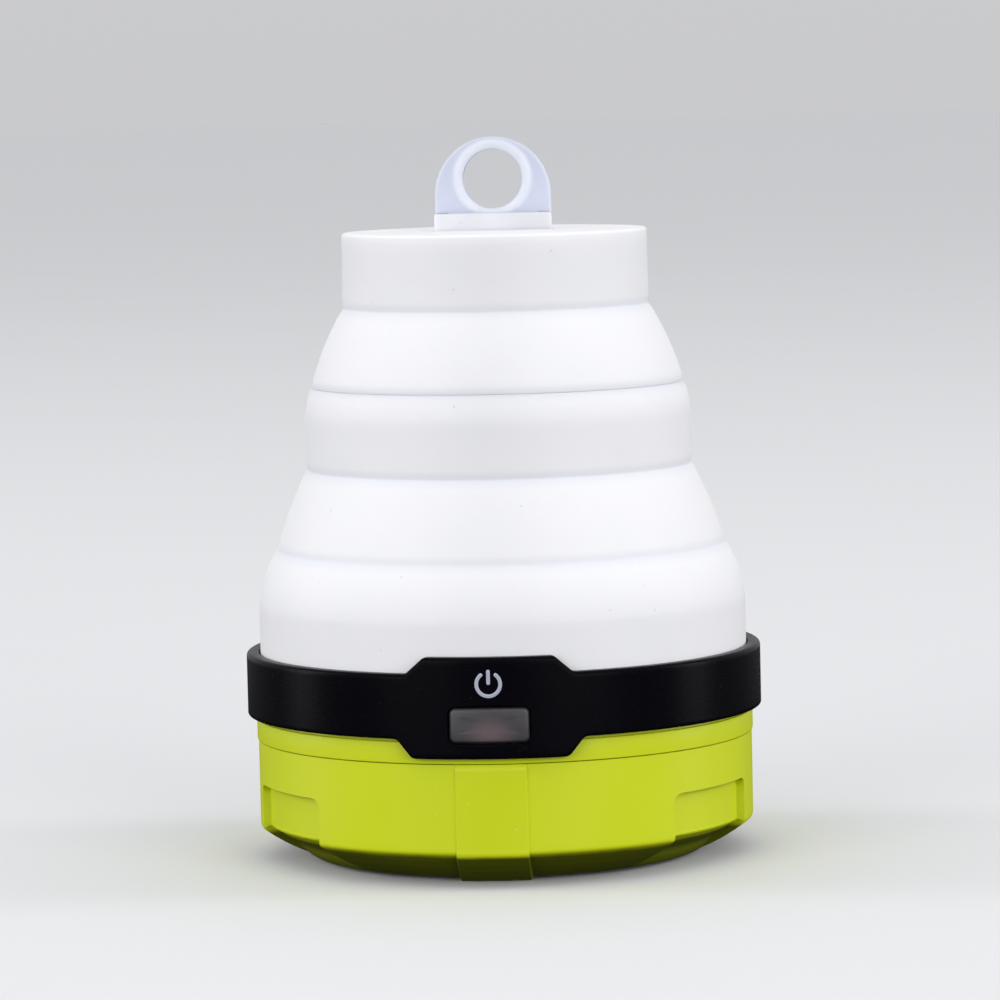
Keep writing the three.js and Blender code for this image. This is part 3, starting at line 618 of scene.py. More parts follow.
@dataclass(frozen=True)
class Silicone:
    """Milky silicone rubber: soft light inside, a matt skin, and painted cool shade along the creases."""

    name: str
    creases: tuple[float, ...]
    colour: Colour = (0.90, 0.895, 0.93)
    # Colour and width of the painted shade line at each crease.
    crease_painted_shade: Colour = (0.78, 0.80, 0.88)
    crease_width: float = 2.0

    def build(self) -> bpy.types.Material:
        """Builds the material."""
        shader = Shader(self.name)
        height = shader.z * 1000
        cloud = shader.noise(18.0, 3.0)
        flow = shader.noise(3.0, 3.0, (1.0, 1.0, 2.5))
        skin = shader.noise(0.28, 2.0)
        colour = shader.mix(self.colour, (0.86, 0.865, 0.90), cloud.ramp(0.4, 0.75) * 0.5)
        line: Number = 0.0
        # Painted shade: the colour turns cool grey near each crease height, where the folds lie in shadow.
        for crease in self.creases:
            line = abs(height - crease).ramp(self.crease_width, 0.0) + line
        colour = shader.mix(colour, self.crease_painted_shade, line * 0.6)
        dust = shader.specks(0.30, 0.05)
        colour = shader.mix(colour, (0.48, 0.47, 0.46), dust * 0.3)
        shader.set(base_color=colour, roughness=0.58 + 0.10 * (skin - 0.5) + 0.08 * (flow - 0.5))
        shader.set(subsurface_weight=0.35, subsurface_radius=(1.0, 0.95, 0.9), subsurface_scale=0.0035)
        shader.set(sheen_weight=0.08, sheen_roughness=0.5, specular_ior_level=0.35)
        shader.bump(skin + 1.5 * flow, 0.010)
        return shader.material


@dataclass(frozen=True)
class FrostedClear:
    """Frosted clear plastic, bluish where it is thick, with a painted highlight on its raised rim and painted
    shade round the eye.
    """

    name: str
    eye_height: float
    eye_radius: float
    rim_radius: float
    colour: Colour = (0.70, 0.735, 0.86)
    # rim is the colour of the painted highlight on the raised rim.
    rim: Colour = (0.88, 0.90, 1.0)

    def build(self) -> bpy.types.Material:
        """Builds the material."""
        shader = Shader(self.name)
        up = shader.z * 1000 - self.eye_height
        across = shader.x * 1000
        distance = (up * up + across * across).root()
        raised = distance.ramp(self.rim_radius + 0.6, self.rim_radius - 0.2)
        edge = abs(distance - self.eye_radius).ramp(0.45, 0.1)
        cloud = shader.noise(4.0, 3.0)
        frost = shader.noise(0.25, 2.0)
        # Painted highlight on the raised rim, and a painted shade line along the eye's wall.
        colour = shader.mix(self.colour, self.rim, raised * 0.85)
        colour = shader.mix(colour, (0.66, 0.73, 0.86), edge * 0.6)
        colour = shader.mix(colour, (0.73, 0.77, 0.89), cloud.ramp(0.45, 0.75) * 0.4)
        shader.set(base_color=colour, roughness=0.34 + 0.14 * (frost - 0.5) + 0.10 * (cloud - 0.5))
        shader.set(transmission_weight=0.25, ior=1.42, subsurface_weight=0.3, subsurface_scale=0.002)
        shader.set(subsurface_radius=(0.8, 0.9, 1.0))
        shader.bump(frost + 0.8 * cloud, 0.010)
        return shader.material


@dataclass(frozen=True)
class SmokedButton:
    """Grey translucent elastomer, with a painted warm glow over the indicator behind its lower middle."""

    name: str
    centre_height: float
    colour: Colour = (0.052, 0.048, 0.054)
    painted_glow: Colour = (0.135, 0.098, 0.110)

    def build(self) -> bpy.types.Material:
        """Builds the material."""
        shader = Shader(self.name)
        across = shader.x * 1000 / 4.2
        up = (shader.z * 1000 - self.centre_height + 1.4) / 2.9
        inside = (across * across + up * up).root().ramp(1.25, 0.0)
        grain = shader.noise(0.22, 2.0)
        cloud = shader.noise(2.5, 3.0)
        # Painted glow: a lighter, warmer patch where the indicator sits, as if lit from behind.
        colour = shader.mix(self.colour, self.painted_glow, inside)
        colour = shader.mix(colour, (0.09, 0.085, 0.09), cloud.ramp(0.5, 0.8) * 0.3)
        shader.set(base_color=colour, roughness=0.38 + 0.12 * (grain - 0.5), specular_ior_level=0.4)
        shader.set(subsurface_weight=0.15, subsurface_scale=0.001, coat_weight=0.15, coat_roughness=0.3)
        shader.bump(grain, 0.008)
        return shader.material


@dataclass(frozen=True)
class PrintedInk:
    """Pad-printed bluish grey ink, a little uneven."""

    name: str
    colour: Colour = (0.42, 0.45, 0.56)

    def build(self) -> bpy.types.Material:
        """Builds the material."""
        shader = Shader(self.name)
        patch = shader.noise(0.35, 3.0)
        shader.set(base_color=shader.mix(self.colour, (0.42, 0.43, 0.48), patch.ramp(0.5, 0.8) * 0.5))
        shader.set(roughness=0.45 + 0.15 * (patch - 0.5))
        shader.bump(patch, 0.006)
        return shader.material


@dataclass(frozen=True)
class PlatedSteel:
    """Zinc-plated steel with fine drawing lines and faint yellowish clouds."""

    name: str
    colour: Colour = (0.58, 0.59, 0.60)
    stretch: Colour = (1.0, 1.0, 12.0)

    def build(self) -> bpy.types.Material:
        """Builds the material."""
        shader = Shader(self.name)
        lines = shader.noise(0.5, 3.0, self.stretch)
        cloud = shader.noise(3.0, 3.0)
        shader.set(base_color=shader.mix(self.colour, (0.55, 0.50, 0.40), cloud.ramp(0.5, 0.8) * 0.4))
        shader.set(metallic=1.0, roughness=0.30 + 0.20 * (lines - 0.5) + 0.12 * (cloud - 0.5))
        shader.bump(lines, 0.006)
        return shader.material


@dataclass(frozen=True)
class CircuitBoard:
    """Solder mask over copper tracks that run in straight lines, with bright pads."""

    name: str
    mask: Colour = (0.015, 0.10, 0.04)
    track: Colour = (0.03, 0.17, 0.06)
    pad: Colour = (0.62, 0.60, 0.52)

    def build(self) -> bpy.types.Material:
        """Builds the material."""
        shader = Shader(self.name)
        weave = (shader.x * 5200).sine() * (shader.y * 5200).sine()
        lanes = (shader.x * 2300).sine().ramp(0.55, 0.65)
        pads = shader.specks(0.9, 0.25)
        colour = shader.mix(self.mask, self.track, lanes * 0.8)
        colour = shader.mix(colour, self.pad, pads)
        shader.set(base_color=colour, roughness=0.38 - 0.08 * pads, metallic=pads * 0.8)
        shader.bump(lanes + 0.2 * weave + pads, 0.03)
        return shader.material


@dataclass(frozen=True)
class CellJacket:
    """Printed cell jacket: a dark blue sleeve with a coppery band towards one end."""

    name: str
    sleeve: Colour = (0.02, 0.045, 0.14)
    band: Colour = (0.45, 0.22, 0.07)

    def build(self) -> bpy.types.Material:
        """Builds the material."""
        shader = Shader(self.name)
        copper = (shader.x * 1000).ramp(11.0, 11.4)
        scuff = shader.noise(1.5, 4.0, (8.0, 1.0, 1.0)).ramp(0.55, 0.75)
        colour = shader.mix(self.sleeve, self.band, copper)
        colour = shader.mix(colour, (0.5, 0.5, 0.5), scuff * 0.15)
        shader.set(base_color=colour, metallic=0.3 + 0.4 * copper, roughness=0.3 + 0.2 * scuff)
        shader.bump(shader.noise(0.6, 2.0), 0.006)
        return shader.material


@dataclass(frozen=True)
class PhosphorGel:
    """Yellow phosphor gel under a clear skin."""

    name: str
    colour: Colour = (0.80, 0.62, 0.14)

    def build(self) -> bpy.types.Material:
        """Builds the material."""
        shader = Shader(self.name)
        grain = shader.noise(0.3, 3.0)
        shader.set(base_color=shader.mix(self.colour, (0.9, 0.75, 0.3), grain.ramp(0.4, 0.7)))
        shader.set(roughness=0.3 + 0.1 * (grain - 0.5), coat_weight=0.5)
        shader.bump(grain, 0.01)
        return shader.material


# ---------------------------------------------------------------------------------------- sub-assemblies


@dataclass
class BatteryCover:
    """The green cup that twists off underneath, with three locating ribs and three finger grips."""

    radius: float = 42.3
    wall: float = 1.8
    top: float = 20.6
    rim_radius: float = 33.5
    rim_height: float = 0.7
    chamfer_top: float = 5.8
    chamfer_bulge: float = 0.35
    recess: float = 1.0
    recess_radius: float = 27.5
    floor: float = 3.5
    lug_width: float = 11.8
    lug_proud: float = 0.45
    lug_inner: float = 29.0
    pocket_width: float = 22.4
    pocket_fade: tuple[float, float] = (0.8, 2.6)
    pocket_high: float = 13.4
    pocket_depth: float = 1.3
    pocket_corner: float = 1.6
    step_width: float = 0.16
    # Its finish paints shade below 5.7 mm, where the cup turns under, and scuffs on the feet.
    finish: MouldedPlastic = MouldedPlastic(
        "green_cover", (0.590, 0.685, 0.007), (0.620, 0.705, 0.012), scuff_height=0.9, painted_shade_height=5.7)

    def profile(self) -> tuple[Array, Array]:
        """The cup's half section from the middle underneath, round the outside to the middle inside.

        Returns:
            (n, 2) radius and height, and for each point whether it is on the outside.
        """
        bottom = self.rim_height + self.recess
        inside = self.radius - self.wall
        slope = swollen_line(
            (self.rim_radius, self.rim_height), (self.radius, self.chamfer_top), self.chamfer_bulge, 4)
        corners = [
            (0.0, bottom, 0.0),
            (self.recess_radius, bottom, 0.3),
            (self.recess_radius + self.recess, self.rim_height, 0.3),
            (self.rim_radius, self.rim_height, 0.7),
            *[(float(r), float(z), 6.0) for r, z in slope[1:-1]],
            (self.radius, self.chamfer_top, 0.9),
            (self.radius, self.top, 0.15),
        ]
        outside = refined(rounded_path(corners), self.spacing)
        corners = [
            (self.radius - 0.4, self.top, 0.0),
            (inside, self.top, 0.3),
            (inside, self.chamfer_top + self.wall, 2.0),
            (self.rim_radius, self.floor, 2.0),
            (0.0, self.floor, 0.0),
        ]
        inner = refined(rounded_path(corners), lambda place: 2.5)
        return np.vstack([outside, inner]), np.arange(len(outside) + len(inner)) < len(outside)

    def spacing(self, place: Array) -> float:
        """Wanted step near a place on the outside: fine at the grips' upper edge and where the feet begin."""
        r, z = place
        if r > self.rim_radius + 2:
            near = abs(z - self.pocket_high) < 0.5
            corner = self.pocket_high - self.pocket_corner - 0.4 < z < self.pocket_high + 0.5
            return 0.07 if near else 0.2 if corner else 0.55
        return 0.1 if abs(r - self.lug_inner) < 0.4 else 0.9

    def columns(self) -> Array:
        """Angles from a rib's middle, in degrees, dense at the edges of the rib and of the grips."""
        degrees = math.degrees(1 / self.radius)
        lug_edge = math.degrees(math.asin(self.lug_width / 2 / self.radius))
        pocket_edge = 60 - math.degrees(math.asin(self.pocket_width / 2 / self.radius))
        fine = np.linspace(-0.36, 0.36, 11) * degrees
        corner = np.linspace(0.45, self.pocket_corner + 0.2, 9) * degrees
        right = np.concatenate([
            np.linspace(0, lug_edge - 0.6 * degrees, 4), lug_edge + fine,
            np.linspace(lug_edge + 0.8 * degrees, pocket_edge - 0.6 * degrees, 16), pocket_edge + fine,
            pocket_edge + corner, np.linspace(pocket_edge + (self.pocket_corner + 0.9) * degrees, 60, 8),
        ])
        return np.concatenate([-right[::-1][1:-1], right])

    def angles(self, radius: Array) -> Array:
        """Each column's angle at each radius, so that edges of ribs and grips keep their width as it shrinks.

        Near a rib or a grip a column keeps its distance from that feature's middle; in between it keeps its
        angle.

        Args:
            radius: Radius of each ring, (n,).

        Returns:
            (n, columns) angles in radians from the front.
        """
        base = np.radians(self.columns())[None]
        held = np.maximum(radius, 30.0)[:, None]
        side = np.sign(base)
        from_grip = np.pi / 3 - np.abs(base)
        shift = np.arcsin(np.clip(self.radius * np.sin(base) / held, -1, 1)) - base
        grip_shift = np.arcsin(np.clip(self.radius * np.sin(from_grip) / held, -1, 1)) - from_grip
        near_rib = 1 - smoothstep(np.radians(12), np.radians(25), np.abs(base))
        near_grip = 1 - smoothstep(np.radians(18), np.radians(32), from_grip)
        sector = base + near_rib * shift - side * near_grip * grip_shift
        return np.concatenate([sector + turn for turn in (0.0, 2 * np.pi / 3, 4 * np.pi / 3)], axis=1)

    def relief(self, radius: Array, height: Array, angle: Array, down: Array) -> Array:
        """How far the outside stands proud of the plain cup.

        A rib adds a strip of constant width. A grip takes away an area with two rounded upper corners, drawn
        on a flat plane in front of it, and dies out towards the rim. All edges are smooth ramps.

        Args:
            radius: Radius of each ring, (n, 1).
            height: Height of each ring, (n, 1).
            angle: Angle of each point, (n, m).
            down: How far each ring faces down, 0 to 1, (n, 1).

        Returns:
            (n, m) offsets along the normal.
        """
        sector = 2 * np.pi / 3
        from_rib = (angle + sector / 2) % sector - sector / 2
        from_grip = np.abs(from_rib) - sector / 2
        edge = self.step_width
        rib = smoothstep(edge, -edge, np.abs(radius * np.sin(from_rib)) - self.lug_width / 2)
        rib = rib * smoothstep(self.lug_inner - 0.2, self.lug_inner + 0.2, radius)
        proud = self.lug_proud + (self.rim_height - self.lug_proud) * down
        dx = np.abs(radius * np.sin(from_grip)) - (self.pocket_width / 2 - self.pocket_corner)
        dz = height - (self.pocket_high - self.pocket_corner)
        outside = np.hypot(np.maximum(dx, 0), np.maximum(dz, 0))
        distance = outside + np.minimum(np.maximum(dx, dz), 0) - self.pocket_corner
        grip = smoothstep(edge, -edge, distance) * smoothstep(*self.pocket_fade, height)
        grip = grip * (radius > self.rim_radius)
        return rib * proud - grip * self.pocket_depth

    def build(self) -> None:
        """Builds and dresses the cover."""
        profile, outside = self.profile()
        normals = outward_normals(profile)
        radius, height = profile[:, :1], profile[:, 1:]
        angle = self.angles(profile[:, 0])
        down = np.maximum(-normals[:, 1:], 0.0)
        offset = self.relief(radius, height, angle, down) * outside[:, None]
        offset = offset * smoothstep(self.top, self.top - 0.5, height) + 0.0
        rings = turned(radius + normals[:, :1] * offset, height + normals[:, 1:] * offset, angle)
        cover = closed_surface("cover_cup", rings, poles=True)
        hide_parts("battery_cover")
        place(cover, Body.COVER, "green_shell", self.finish.build())


@dataclass
class Housing:
    """The green ring over the cover, with its skirt and deck."""

    radius: float = 42.5
    seat: float = 42.0
    wall: float = 1.8
    skirt: float = 38.9
    skirt_wall: float = 1.4
    low: float = 20.72
    skirt_low: float = 12.0
    ledge: float = 24.3
    shoulder: float = 23.3
    deck_top: float = 33.7
    deck: float = 2.0
    opening_grow: float = 0.5
    finish: MouldedPlastic = MouldedPlastic(
        "green_housing", (0.590, 0.685, 0.007), (0.620, 0.705, 0.012))

    def build(self, opening: Callable[[float], bpy.types.Object]) -> None:
        """Builds and dresses the housing.

        Args:
            opening: Makes the tool that cuts the button's opening, larger all round by a given margin.
        """
        inside = self.seat - self.wall
        skirt_inside = self.skirt - self.skirt_wall
        profile = rounded_path([
            (0.0, self.deck_top - self.deck, 0.0),
            (inside, self.deck_top - self.deck, 1.0),
            (inside, self.shoulder, 0.5),
            (skirt_inside, self.shoulder - 1.0, 0.5),
            (skirt_inside, self.skirt_low, 0.3),
            (self.skirt, self.skirt_low, 0.3),
            (self.skirt, self.low, 0.3),
            (self.radius, self.low, 0.15),
            (self.radius, self.ledge, 0.25),
            (self.seat, self.ledge, 0.1),
            (self.seat, self.deck_top, 0.3),
            (0.0, self.deck_top, 0.0),
        ])
        housing = revolved("housing_ring", profile)
        cut_away(housing, opening(self.opening_grow))
        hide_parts("housing")
        place(housing, Body.LAMP, "green_shell", self.finish.build())


@dataclass
class ControlBand:
    """The black band with its control panel, power symbol and button."""

    radius: float = 44.0
    inside: float = 42.3
    lip: float = 41.9
    lip_low: float = 34.0
    low: float = 24.9
    high: float = 35.6
    panel_low: float = 21.7
    panel_high: float = 38.4
    panel_inside: float = 42.8
    top_width: float = 21.7
    shoulder_width: float = 28.0
    hip_width: float = 31.1
    bottom_width: float = 25.9
    edge: float = 0.7
    button_width: float = 13.1
    button_height: float = 5.6
    button_corner: float = 0.9
    button_height_z: float = 27.25
    button_sink: float = 0.25
    button_flange: float = 1.0
    button_back: float = 38.8
    gap: float = 0.3
    symbol_height: float = 34.05
    symbol_radius: float = 1.95
    symbol_stroke: float = 0.6
    finish: GlossBlack = GlossBlack("band_black")

    def outline(self, across: Array) -> tuple[Array, Array]:
        """The band's lower and upper edge at a distance from the panel's middle.

        Each is a straight line with one slope and two rounded corners, read as a function of the distance.

        Args:
            across: Distances from the middle, along X.

        Returns:
            Lower and upper heights.
        """
        far = 2 * self.radius
        top = rounded_path([
            (0.0, self.panel_high, 0.0), (self.top_width / 2, self.panel_high, 1.2),
            (self.shoulder_width / 2, self.high, 1.6), (far, self.high, 0.0)])
        bottom = rounded_path([
            (0.0, self.panel_low, 0.0), (self.bottom_width / 2, self.panel_low, 1.4),
            (self.hip_width / 2, self.low, 1.4), (far, self.low, 0.0)])
        return np.interp(across, *bottom.T), np.interp(across, *top.T)

    def section(self) -> tuple[Array, Array, Array, Array]:
        """The band's closed half section in terms of its lower and upper edge.

        Returns:
            For each point its radius, its shares of the lower and of the upper edge's height, and a height
            that is added.
        """
        steps = 24
        lower = fillet(np.array([self.inside, 0.0]), np.array([self.radius, 0.0]),
                       np.array([self.radius, 5.0]), self.edge / 2, 4)
        upper = fillet(np.array([self.radius, -5.0]), np.array([self.radius, 0.0]),
                       np.array([self.inside, 0.0]), self.edge, 8)
        lip = fillet(np.array([self.radius, 0.0]), np.array([self.lip, 0.0]),
                     np.array([self.lip, -5.0]), 0.25, 3)
        share = np.linspace(0, 1, steps + 1)[1:-1]
        face_offset = lower[-1, 1] * (1 - share) + upper[0, 1] * share
        rest = np.array([
            [self.lip, self.lip_low], [self.inside, self.lip_low], [self.inside, self.low + 0.6],
            [self.panel_inside, self.low + 0.3]])
        foot = np.array([[self.panel_inside, 0.0]])
        radius = np.concatenate([foot[:, 0], lower[:, 0], np.full(len(share), self.radius), upper[:, 0],
                                 lip[:, 0], rest[:, 0]])
        above = len(upper) + len(lip)
        on_low = np.concatenate([[1.0], np.ones(len(lower)), 1 - share, np.zeros(above + len(rest))])
        on_high = np.concatenate([[0.0], np.zeros(len(lower)), share, np.ones(above), np.zeros(len(rest))])
        added = np.concatenate([[0.0], lower[:, 1], face_offset, upper[:, 1], lip[:, 1], rest[:, 1]])
        return radius, on_low, on_high, added

    def columns(self) -> Array:
        """Angles round the band, dense where the panel's outline slopes."""
        dense = np.arcsin(np.linspace(9.0, 17.5, 70) / self.radius)
        inner = np.linspace(0, dense[0], 16)[:-1]
        outer = np.linspace(dense[-1], np.pi, 110)[1:]
        right = np.concatenate([inner, dense, outer])
        return np.concatenate([right, -right[1:-1][::-1]])

    def opening(self, grow: float = 0.0) -> bpy.types.Object:
        """A tool that cuts the button's opening in front of the switch, grown all round by so many mm."""
        margin = self.gap + grow
        shape = RoundedRectangle(
            self.button_width + 2 * margin, self.button_height + 2 * margin, self.button_corner + margin,
            side_steps=2)
        back, front = self.inside - 4, self.radius + 3
        depths = np.array([back, back, self.radius - 0.35, self.radius + 0.25, front, front])
        flare = np.array([0.0, 0.0, 0.0, -0.55, -0.55, -0.55])
        flat = shape.rings(flare, np.array([0.0, 1, 1, 1, 1, 0]))
        rings = np.stack([flat[..., 0], np.broadcast_to(-depths[:, None], flat.shape[:2]),
                          flat[..., 1] + self.button_height_z], axis=-1)
        return closed_surface("button_opening_tool", rings, poles=True)

    def band(self) -> None:
        """Builds the band with its panel."""
        radius, on_low, on_high, added = (values[:, None] for values in self.section())
        angle = self.columns()[None]
        across = np.abs(self.radius * np.sin(angle)) + (np.cos(angle) < 0) * 2 * self.radius
        low, high = self.outline(across)
        heights = on_low * low + on_high * high + added
        band = closed_surface("band_hoop", turned(radius, heights, angle), poles=False)
        cut_away(band, self.opening())
        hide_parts("band")
        place(band, Body.LAMP, "band_black", self.finish.build())

    def button(self) -> None:
        """Builds the button: a softly crowned cap on a flange that stays behind the housing's wall."""
        face = self.radius - self.button_sink
        shape = RoundedRectangle(self.button_width, self.button_height, self.button_corner, side_steps=16)
        edge = fillet(np.array([2.0, face]), np.array([0.0, face]), np.array([0.0, 30.0]), 0.45, 5)
        flange = -self.button_flange
        insets = np.concatenate([[1.6, 1.6, 1.2, 0.8], edge[:, 0], [0.0, flange, flange, 1.6, 1.6]])
        back, front = self.button_back, self.inside - 2.4
        depths = np.concatenate([[face, face, face, face], edge[:, 1], [front, front, back, back, back]])
        scales = np.ones(len(insets))
        scales[[0, -1]] = 0.0
        flat = shape.rings(insets, scales)
        crown = 0.12 * (1 - np.clip(np.abs(flat[..., 1]) / (self.button_height / 2), 0, 1) ** 2)
        crown = crown * (np.arange(len(insets)) < 4 + len(edge))[:, None]
        reach = depths[:, None] + crown
        drop = face - np.sqrt(face**2 - flat[..., 0] ** 2)
        rings = np.stack([flat[..., 0], -(reach - drop), flat[..., 1] + self.button_height_z], axis=-1)
        cap = closed_surface("button_cap", rings, poles=True)
        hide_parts("power_button")
        place(cap, Body.BUTTON, "button_grey", SmokedButton("button_smoke", self.button_height_z).build())

    def symbol(self) -> None:
        """Prints the power symbol: an open ring and a stroke, each a thin film on the band's face."""
        half = self.symbol_stroke / 2
        open_angle = math.radians(38)
        sweep = np.linspace(open_angle, 2 * math.pi - open_angle, 65)
        cap = np.linspace(-math.pi / 2, math.pi / 2, 9)
        ring_centre = self.symbol_radius * np.stack([np.sin(sweep), np.cos(sweep)], axis=1)
        bar = np.stack([np.zeros(9), np.linspace(0.2, self.symbol_radius + 0.15, 9)], axis=1)
        ink = PrintedInk("symbol_ink").build()
        for name, line in (("symbol_ring", ring_centre), ("symbol_stroke", bar)):
            along = np.gradient(line, axis=0)
            along /= np.linalg.norm(along, axis=1, keepdims=True)
            across = np.stack([-along[:, 1], along[:, 0]], axis=1)
            start = line[0] + half * (np.sin(cap)[:, None] * across[0] - np.cos(cap)[:, None] * along[0])
            end = line[-1] + half * (-np.sin(cap)[:, None] * across[-1] + np.cos(cap)[:, None] * along[-1])
            side = half * across[1:-1]
            edge = np.vstack([start, line[1:-1] + side, end, (line[1:-1] - side)[::-1]])
            self.film(name, edge, line, ink)

    def film(self, name: str, edge: Array, line: Array, ink: bpy.types.Material) -> None:
        """A film of ink inside an edge, laid round the band's face.

        The film's rings are the edge drawn in towards the nearest point of its middle line, so it stays
        inside any shape that a stroke can have.

        Args:
            name: The piece's name.
            edge: Closed outline, (n, 2).
            line: Middle line of the stroke.
            ink: Its material.
        """
        nearest = line[np.argmin(np.linalg.norm(edge[:, None] - line[None], axis=2), axis=1)]
        shares = np.array([0.02, 0.9, 1.0, 1.0, 0.9, 0.02])[:, None, None]
        lifts = np.array([0.035, 0.035, 0.02, -0.05, -0.05, -0.05])[:, None]
        flat = nearest[None] + (edge - nearest)[None] * shares
        reach = self.radius + lifts
        depth = np.sqrt(reach**2 - flat[..., 0] ** 2)
        rings = np.stack([flat[..., 0], -depth, flat[..., 1] + self.symbol_height], axis=-1)
        piece = closed_surface(name, rings, poles=False)
        place(piece, Body.LAMP, "button_grey", ink)

    def build(self) -> None:
        """Builds the band, the symbol and the button."""
        self.band()
        self.symbol()
        self.button()


@dataclass
class Shade:
    """The silicone shade in two skins that meet in the third crease."""

    wall: float = 1.3
    low_radius: float = 41.6
    low: float = 34.0
    flange_inside: float = 35.2
    creases: tuple[tuple[float, float], ...] = ((38.3, 52.9), (32.9, 66.5), (31.8, 80.5), (26.1, 93.8))
    top: float = 106.6
    top_round: float = 0.5
    top_thickness: float = 1.7
    low_shoulder: float = 9.4
    middle_shoulder: float = 4.6
    groove: float = 0.14
    groove_width: float = 0.8
    boss_width: float = 20.0
    boss_wall: float = 1.3
    boss_height: float = 2.6
    apron_height: float = 2.95
    # The boss's silicone is painted darker than the shade's: painted shade against the bright light that it
    # catches.
    boss_painted_shade_colour: Colour = (0.62, 0.62, 0.66)
    ear_width: float = 1.8
    tab_thickness: float = 2.0
    gap: float = 0.3
    ear_reach: float = 1.1

    def finish(self) -> Silicone:
        """The silicone, with its creases at their heights."""
        return Silicone("silicone", tuple(height for _, height in self.creases))

    def grooved(self, path: Array) -> Array:
        """Draws an outside in at each crease by a bell curve of the height from it."""
        out = path.copy()
        for _, height in self.creases:
            out[:, 0] -= self.groove * np.exp(-(((path[:, 1] - height) / self.groove_width) ** 2))
        return out

    def spacing(self, place: Array) -> float:
        """Wanted step near a place: fine in a crease."""
        near = min(abs(place[1] - height) for _, height in self.creases)
        return 0.14 if near < 1.6 else 0.7

    def lower_skin(self) -> bpy.types.Object:
        """The lowest tier with its flange, the lower fold and the middle tier, as one moulding."""
        first, second, third, _ = self.creases
        shoulder = swollen_line((self.low_radius, first[1] - self.low_shoulder), first, 0.62)
        fold_line = swollen_line(first, second, 0.35)
        tier = swollen_line((second[0], third[1] - self.middle_shoulder), third, 0.15, 8)
        outside = np.vstack([
            [[self.low_radius, self.low]], shoulder, fold_line[1:], tier[:-1], [[third[0], third[1] - 0.02]]])
        return self.skin("shade_lower", outside, flange=True)

    def skin(self, name: str, outside: Array, flange: bool) -> bpy.types.Object:
        """A wall behind an outside line, turned about the axis.

        Args:
            name: The piece's name.
            outside: The line, from bottom to top.
            flange: Whether the wall has the clamped flange at its foot.

        Returns:
            The piece.
        """
        outside = self.grooved(refined(outside, self.spacing))
        smooth = outside.copy()
        smooth[1:-1] = (outside[:-2] + 2 * outside[1:-1] + outside[2:]) / 4
        inside = (smooth - [self.wall, 0.0])[::-1]
        if flange:
            foot = [[self.low_radius - self.wall, self.low + 1.4], [self.flange_inside, self.low + 1.4],
                    [self.flange_inside, self.low]]
            inside = np.vstack([inside[inside[:, 1] > self.low + 1.4], foot])
        return revolved(name, np.vstack([smooth, inside]))

    def upper_skin(self) -> bpy.types.Object:
        """The upper fold, the top tier and its roof, as one moulding."""
        *_, third, fourth = self.creases
        fold_line = swollen_line((third[0], third[1] + 0.02), fourth, 0.5)
        outer_radius = fourth[0] - 0.1
        side_top = self.top - 1.6
        side = np.vstack([fold_line, [[outer_radius, side_top]]])
        side = self.grooved(refined(side, self.spacing))
        roof = rounded_path([
            (outer_radius, side_top, 0.0), (outer_radius, self.top, self.top_round), (0.0, self.top, 0.0)],
            steps=8)
        roof = refined(roof, lambda place: 1.4)
        inner_radius = outer_radius - self.wall
        ceiling = self.top - self.top_thickness
        inner_roof = rounded_path([
            (0.0, ceiling, 0.0), (inner_radius, ceiling, 1.0), (inner_radius, fourth[1] + 1.5, 0.0)])
        inner_side = (side[side[:, 1] < fourth[1] + 1.4] - [self.wall, 0.0])[::-1]
        under = np.vstack([inner_roof, inner_side])
        loop = np.vstack([side[:-1], roof])
        profile = np.vstack([under, loop])
        return revolved("shade_upper", profile)

    def boss(self) -> None:
        """The boss moulded on the roof: an apron before the tab and an ear at each of its ends."""
        # A darker copy of the silicone, as painted shade on the boss.
        material = replace(self.finish(), name="boss_silicone", colour=self.boss_painted_shade_colour).build()
        front = -self.tab_thickness / 2 - self.gap - self.boss_wall
        depth = self.ear_reach - front - self.boss_wall / 3
        apron_middle, ear_middle = front + self.boss_wall / 2, self.ear_reach - depth / 2
        parts = [("boss_apron", self.boss_width, self.boss_wall, 0.0, apron_middle, self.apron_height)]
        for name, side in (("boss_ear_left", -1), ("boss_ear_right", 1)):
            middle = side * (self.boss_width - self.ear_width - 0.1) / 2
            parts.append((name, self.ear_width - 0.1, depth, middle, ear_middle, self.boss_height))
        for name, width, length, x, y, tall in parts:
            shape = RoundedRectangle(width, length, 0.5, side_steps=10)
            insets = np.array([0.3, 0.3, -0.45, -0.12, 0.0, 0.0, 0.05, 0.18, 0.42, 0.55])
            foot = [-0.8, -0.8, -0.05, 0.18, 0.6]
            heights = np.array([*foot, tall - 0.5, tall - 0.22, tall - 0.06, tall, tall])
            scales = np.ones(len(insets))
            scales[[0, -1]] = 0.0
            flat = shape.rings(insets, scales)
            up = np.broadcast_to(heights[:, None] + self.top, flat.shape[:2])
            rings = np.stack([flat[..., 0] + x, flat[..., 1] + y, up], axis=-1)
            place(closed_surface(name, rings, poles=True), Body.UPPER, "silicone_white", material)

    def build(self) -> None:
        """Builds both skins and the boss."""
        material = self.finish().build()
        first, second, third, fourth = self.creases
        lower = self.lower_skin()
        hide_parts("shade_lower_tier", "shade_lower_fold", "shade_middle_tier")
        self.bend(lower, material, (Body.LAMP, Body.MIDDLE), (first[1], second[1]))
        upper = self.upper_skin()
        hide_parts("shade_upper_fold", "shade_top")
        self.bend(upper, material, (Body.MIDDLE, Body.UPPER), (third[1], fourth[1]))
        self.boss()

    @staticmethod
    def bend(piece: bpy.types.Object, material: bpy.types.Material, bodies: tuple[Body, Body],
             heights: tuple[float, float]) -> None:
        """Dresses a skin, bakes its transform and logs the two bodies that it lies between.

        Args:
            piece: The skin.
            material: Its material.
            bodies: The body below and the body above.
            heights: Not used.
        """
        dress(piece, material)
        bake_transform(piece)
        names = (body.value for body in bodies)
        LOG.info("%s: %d faces from %s to %s", piece.name, len(piece.data.polygons), *names)


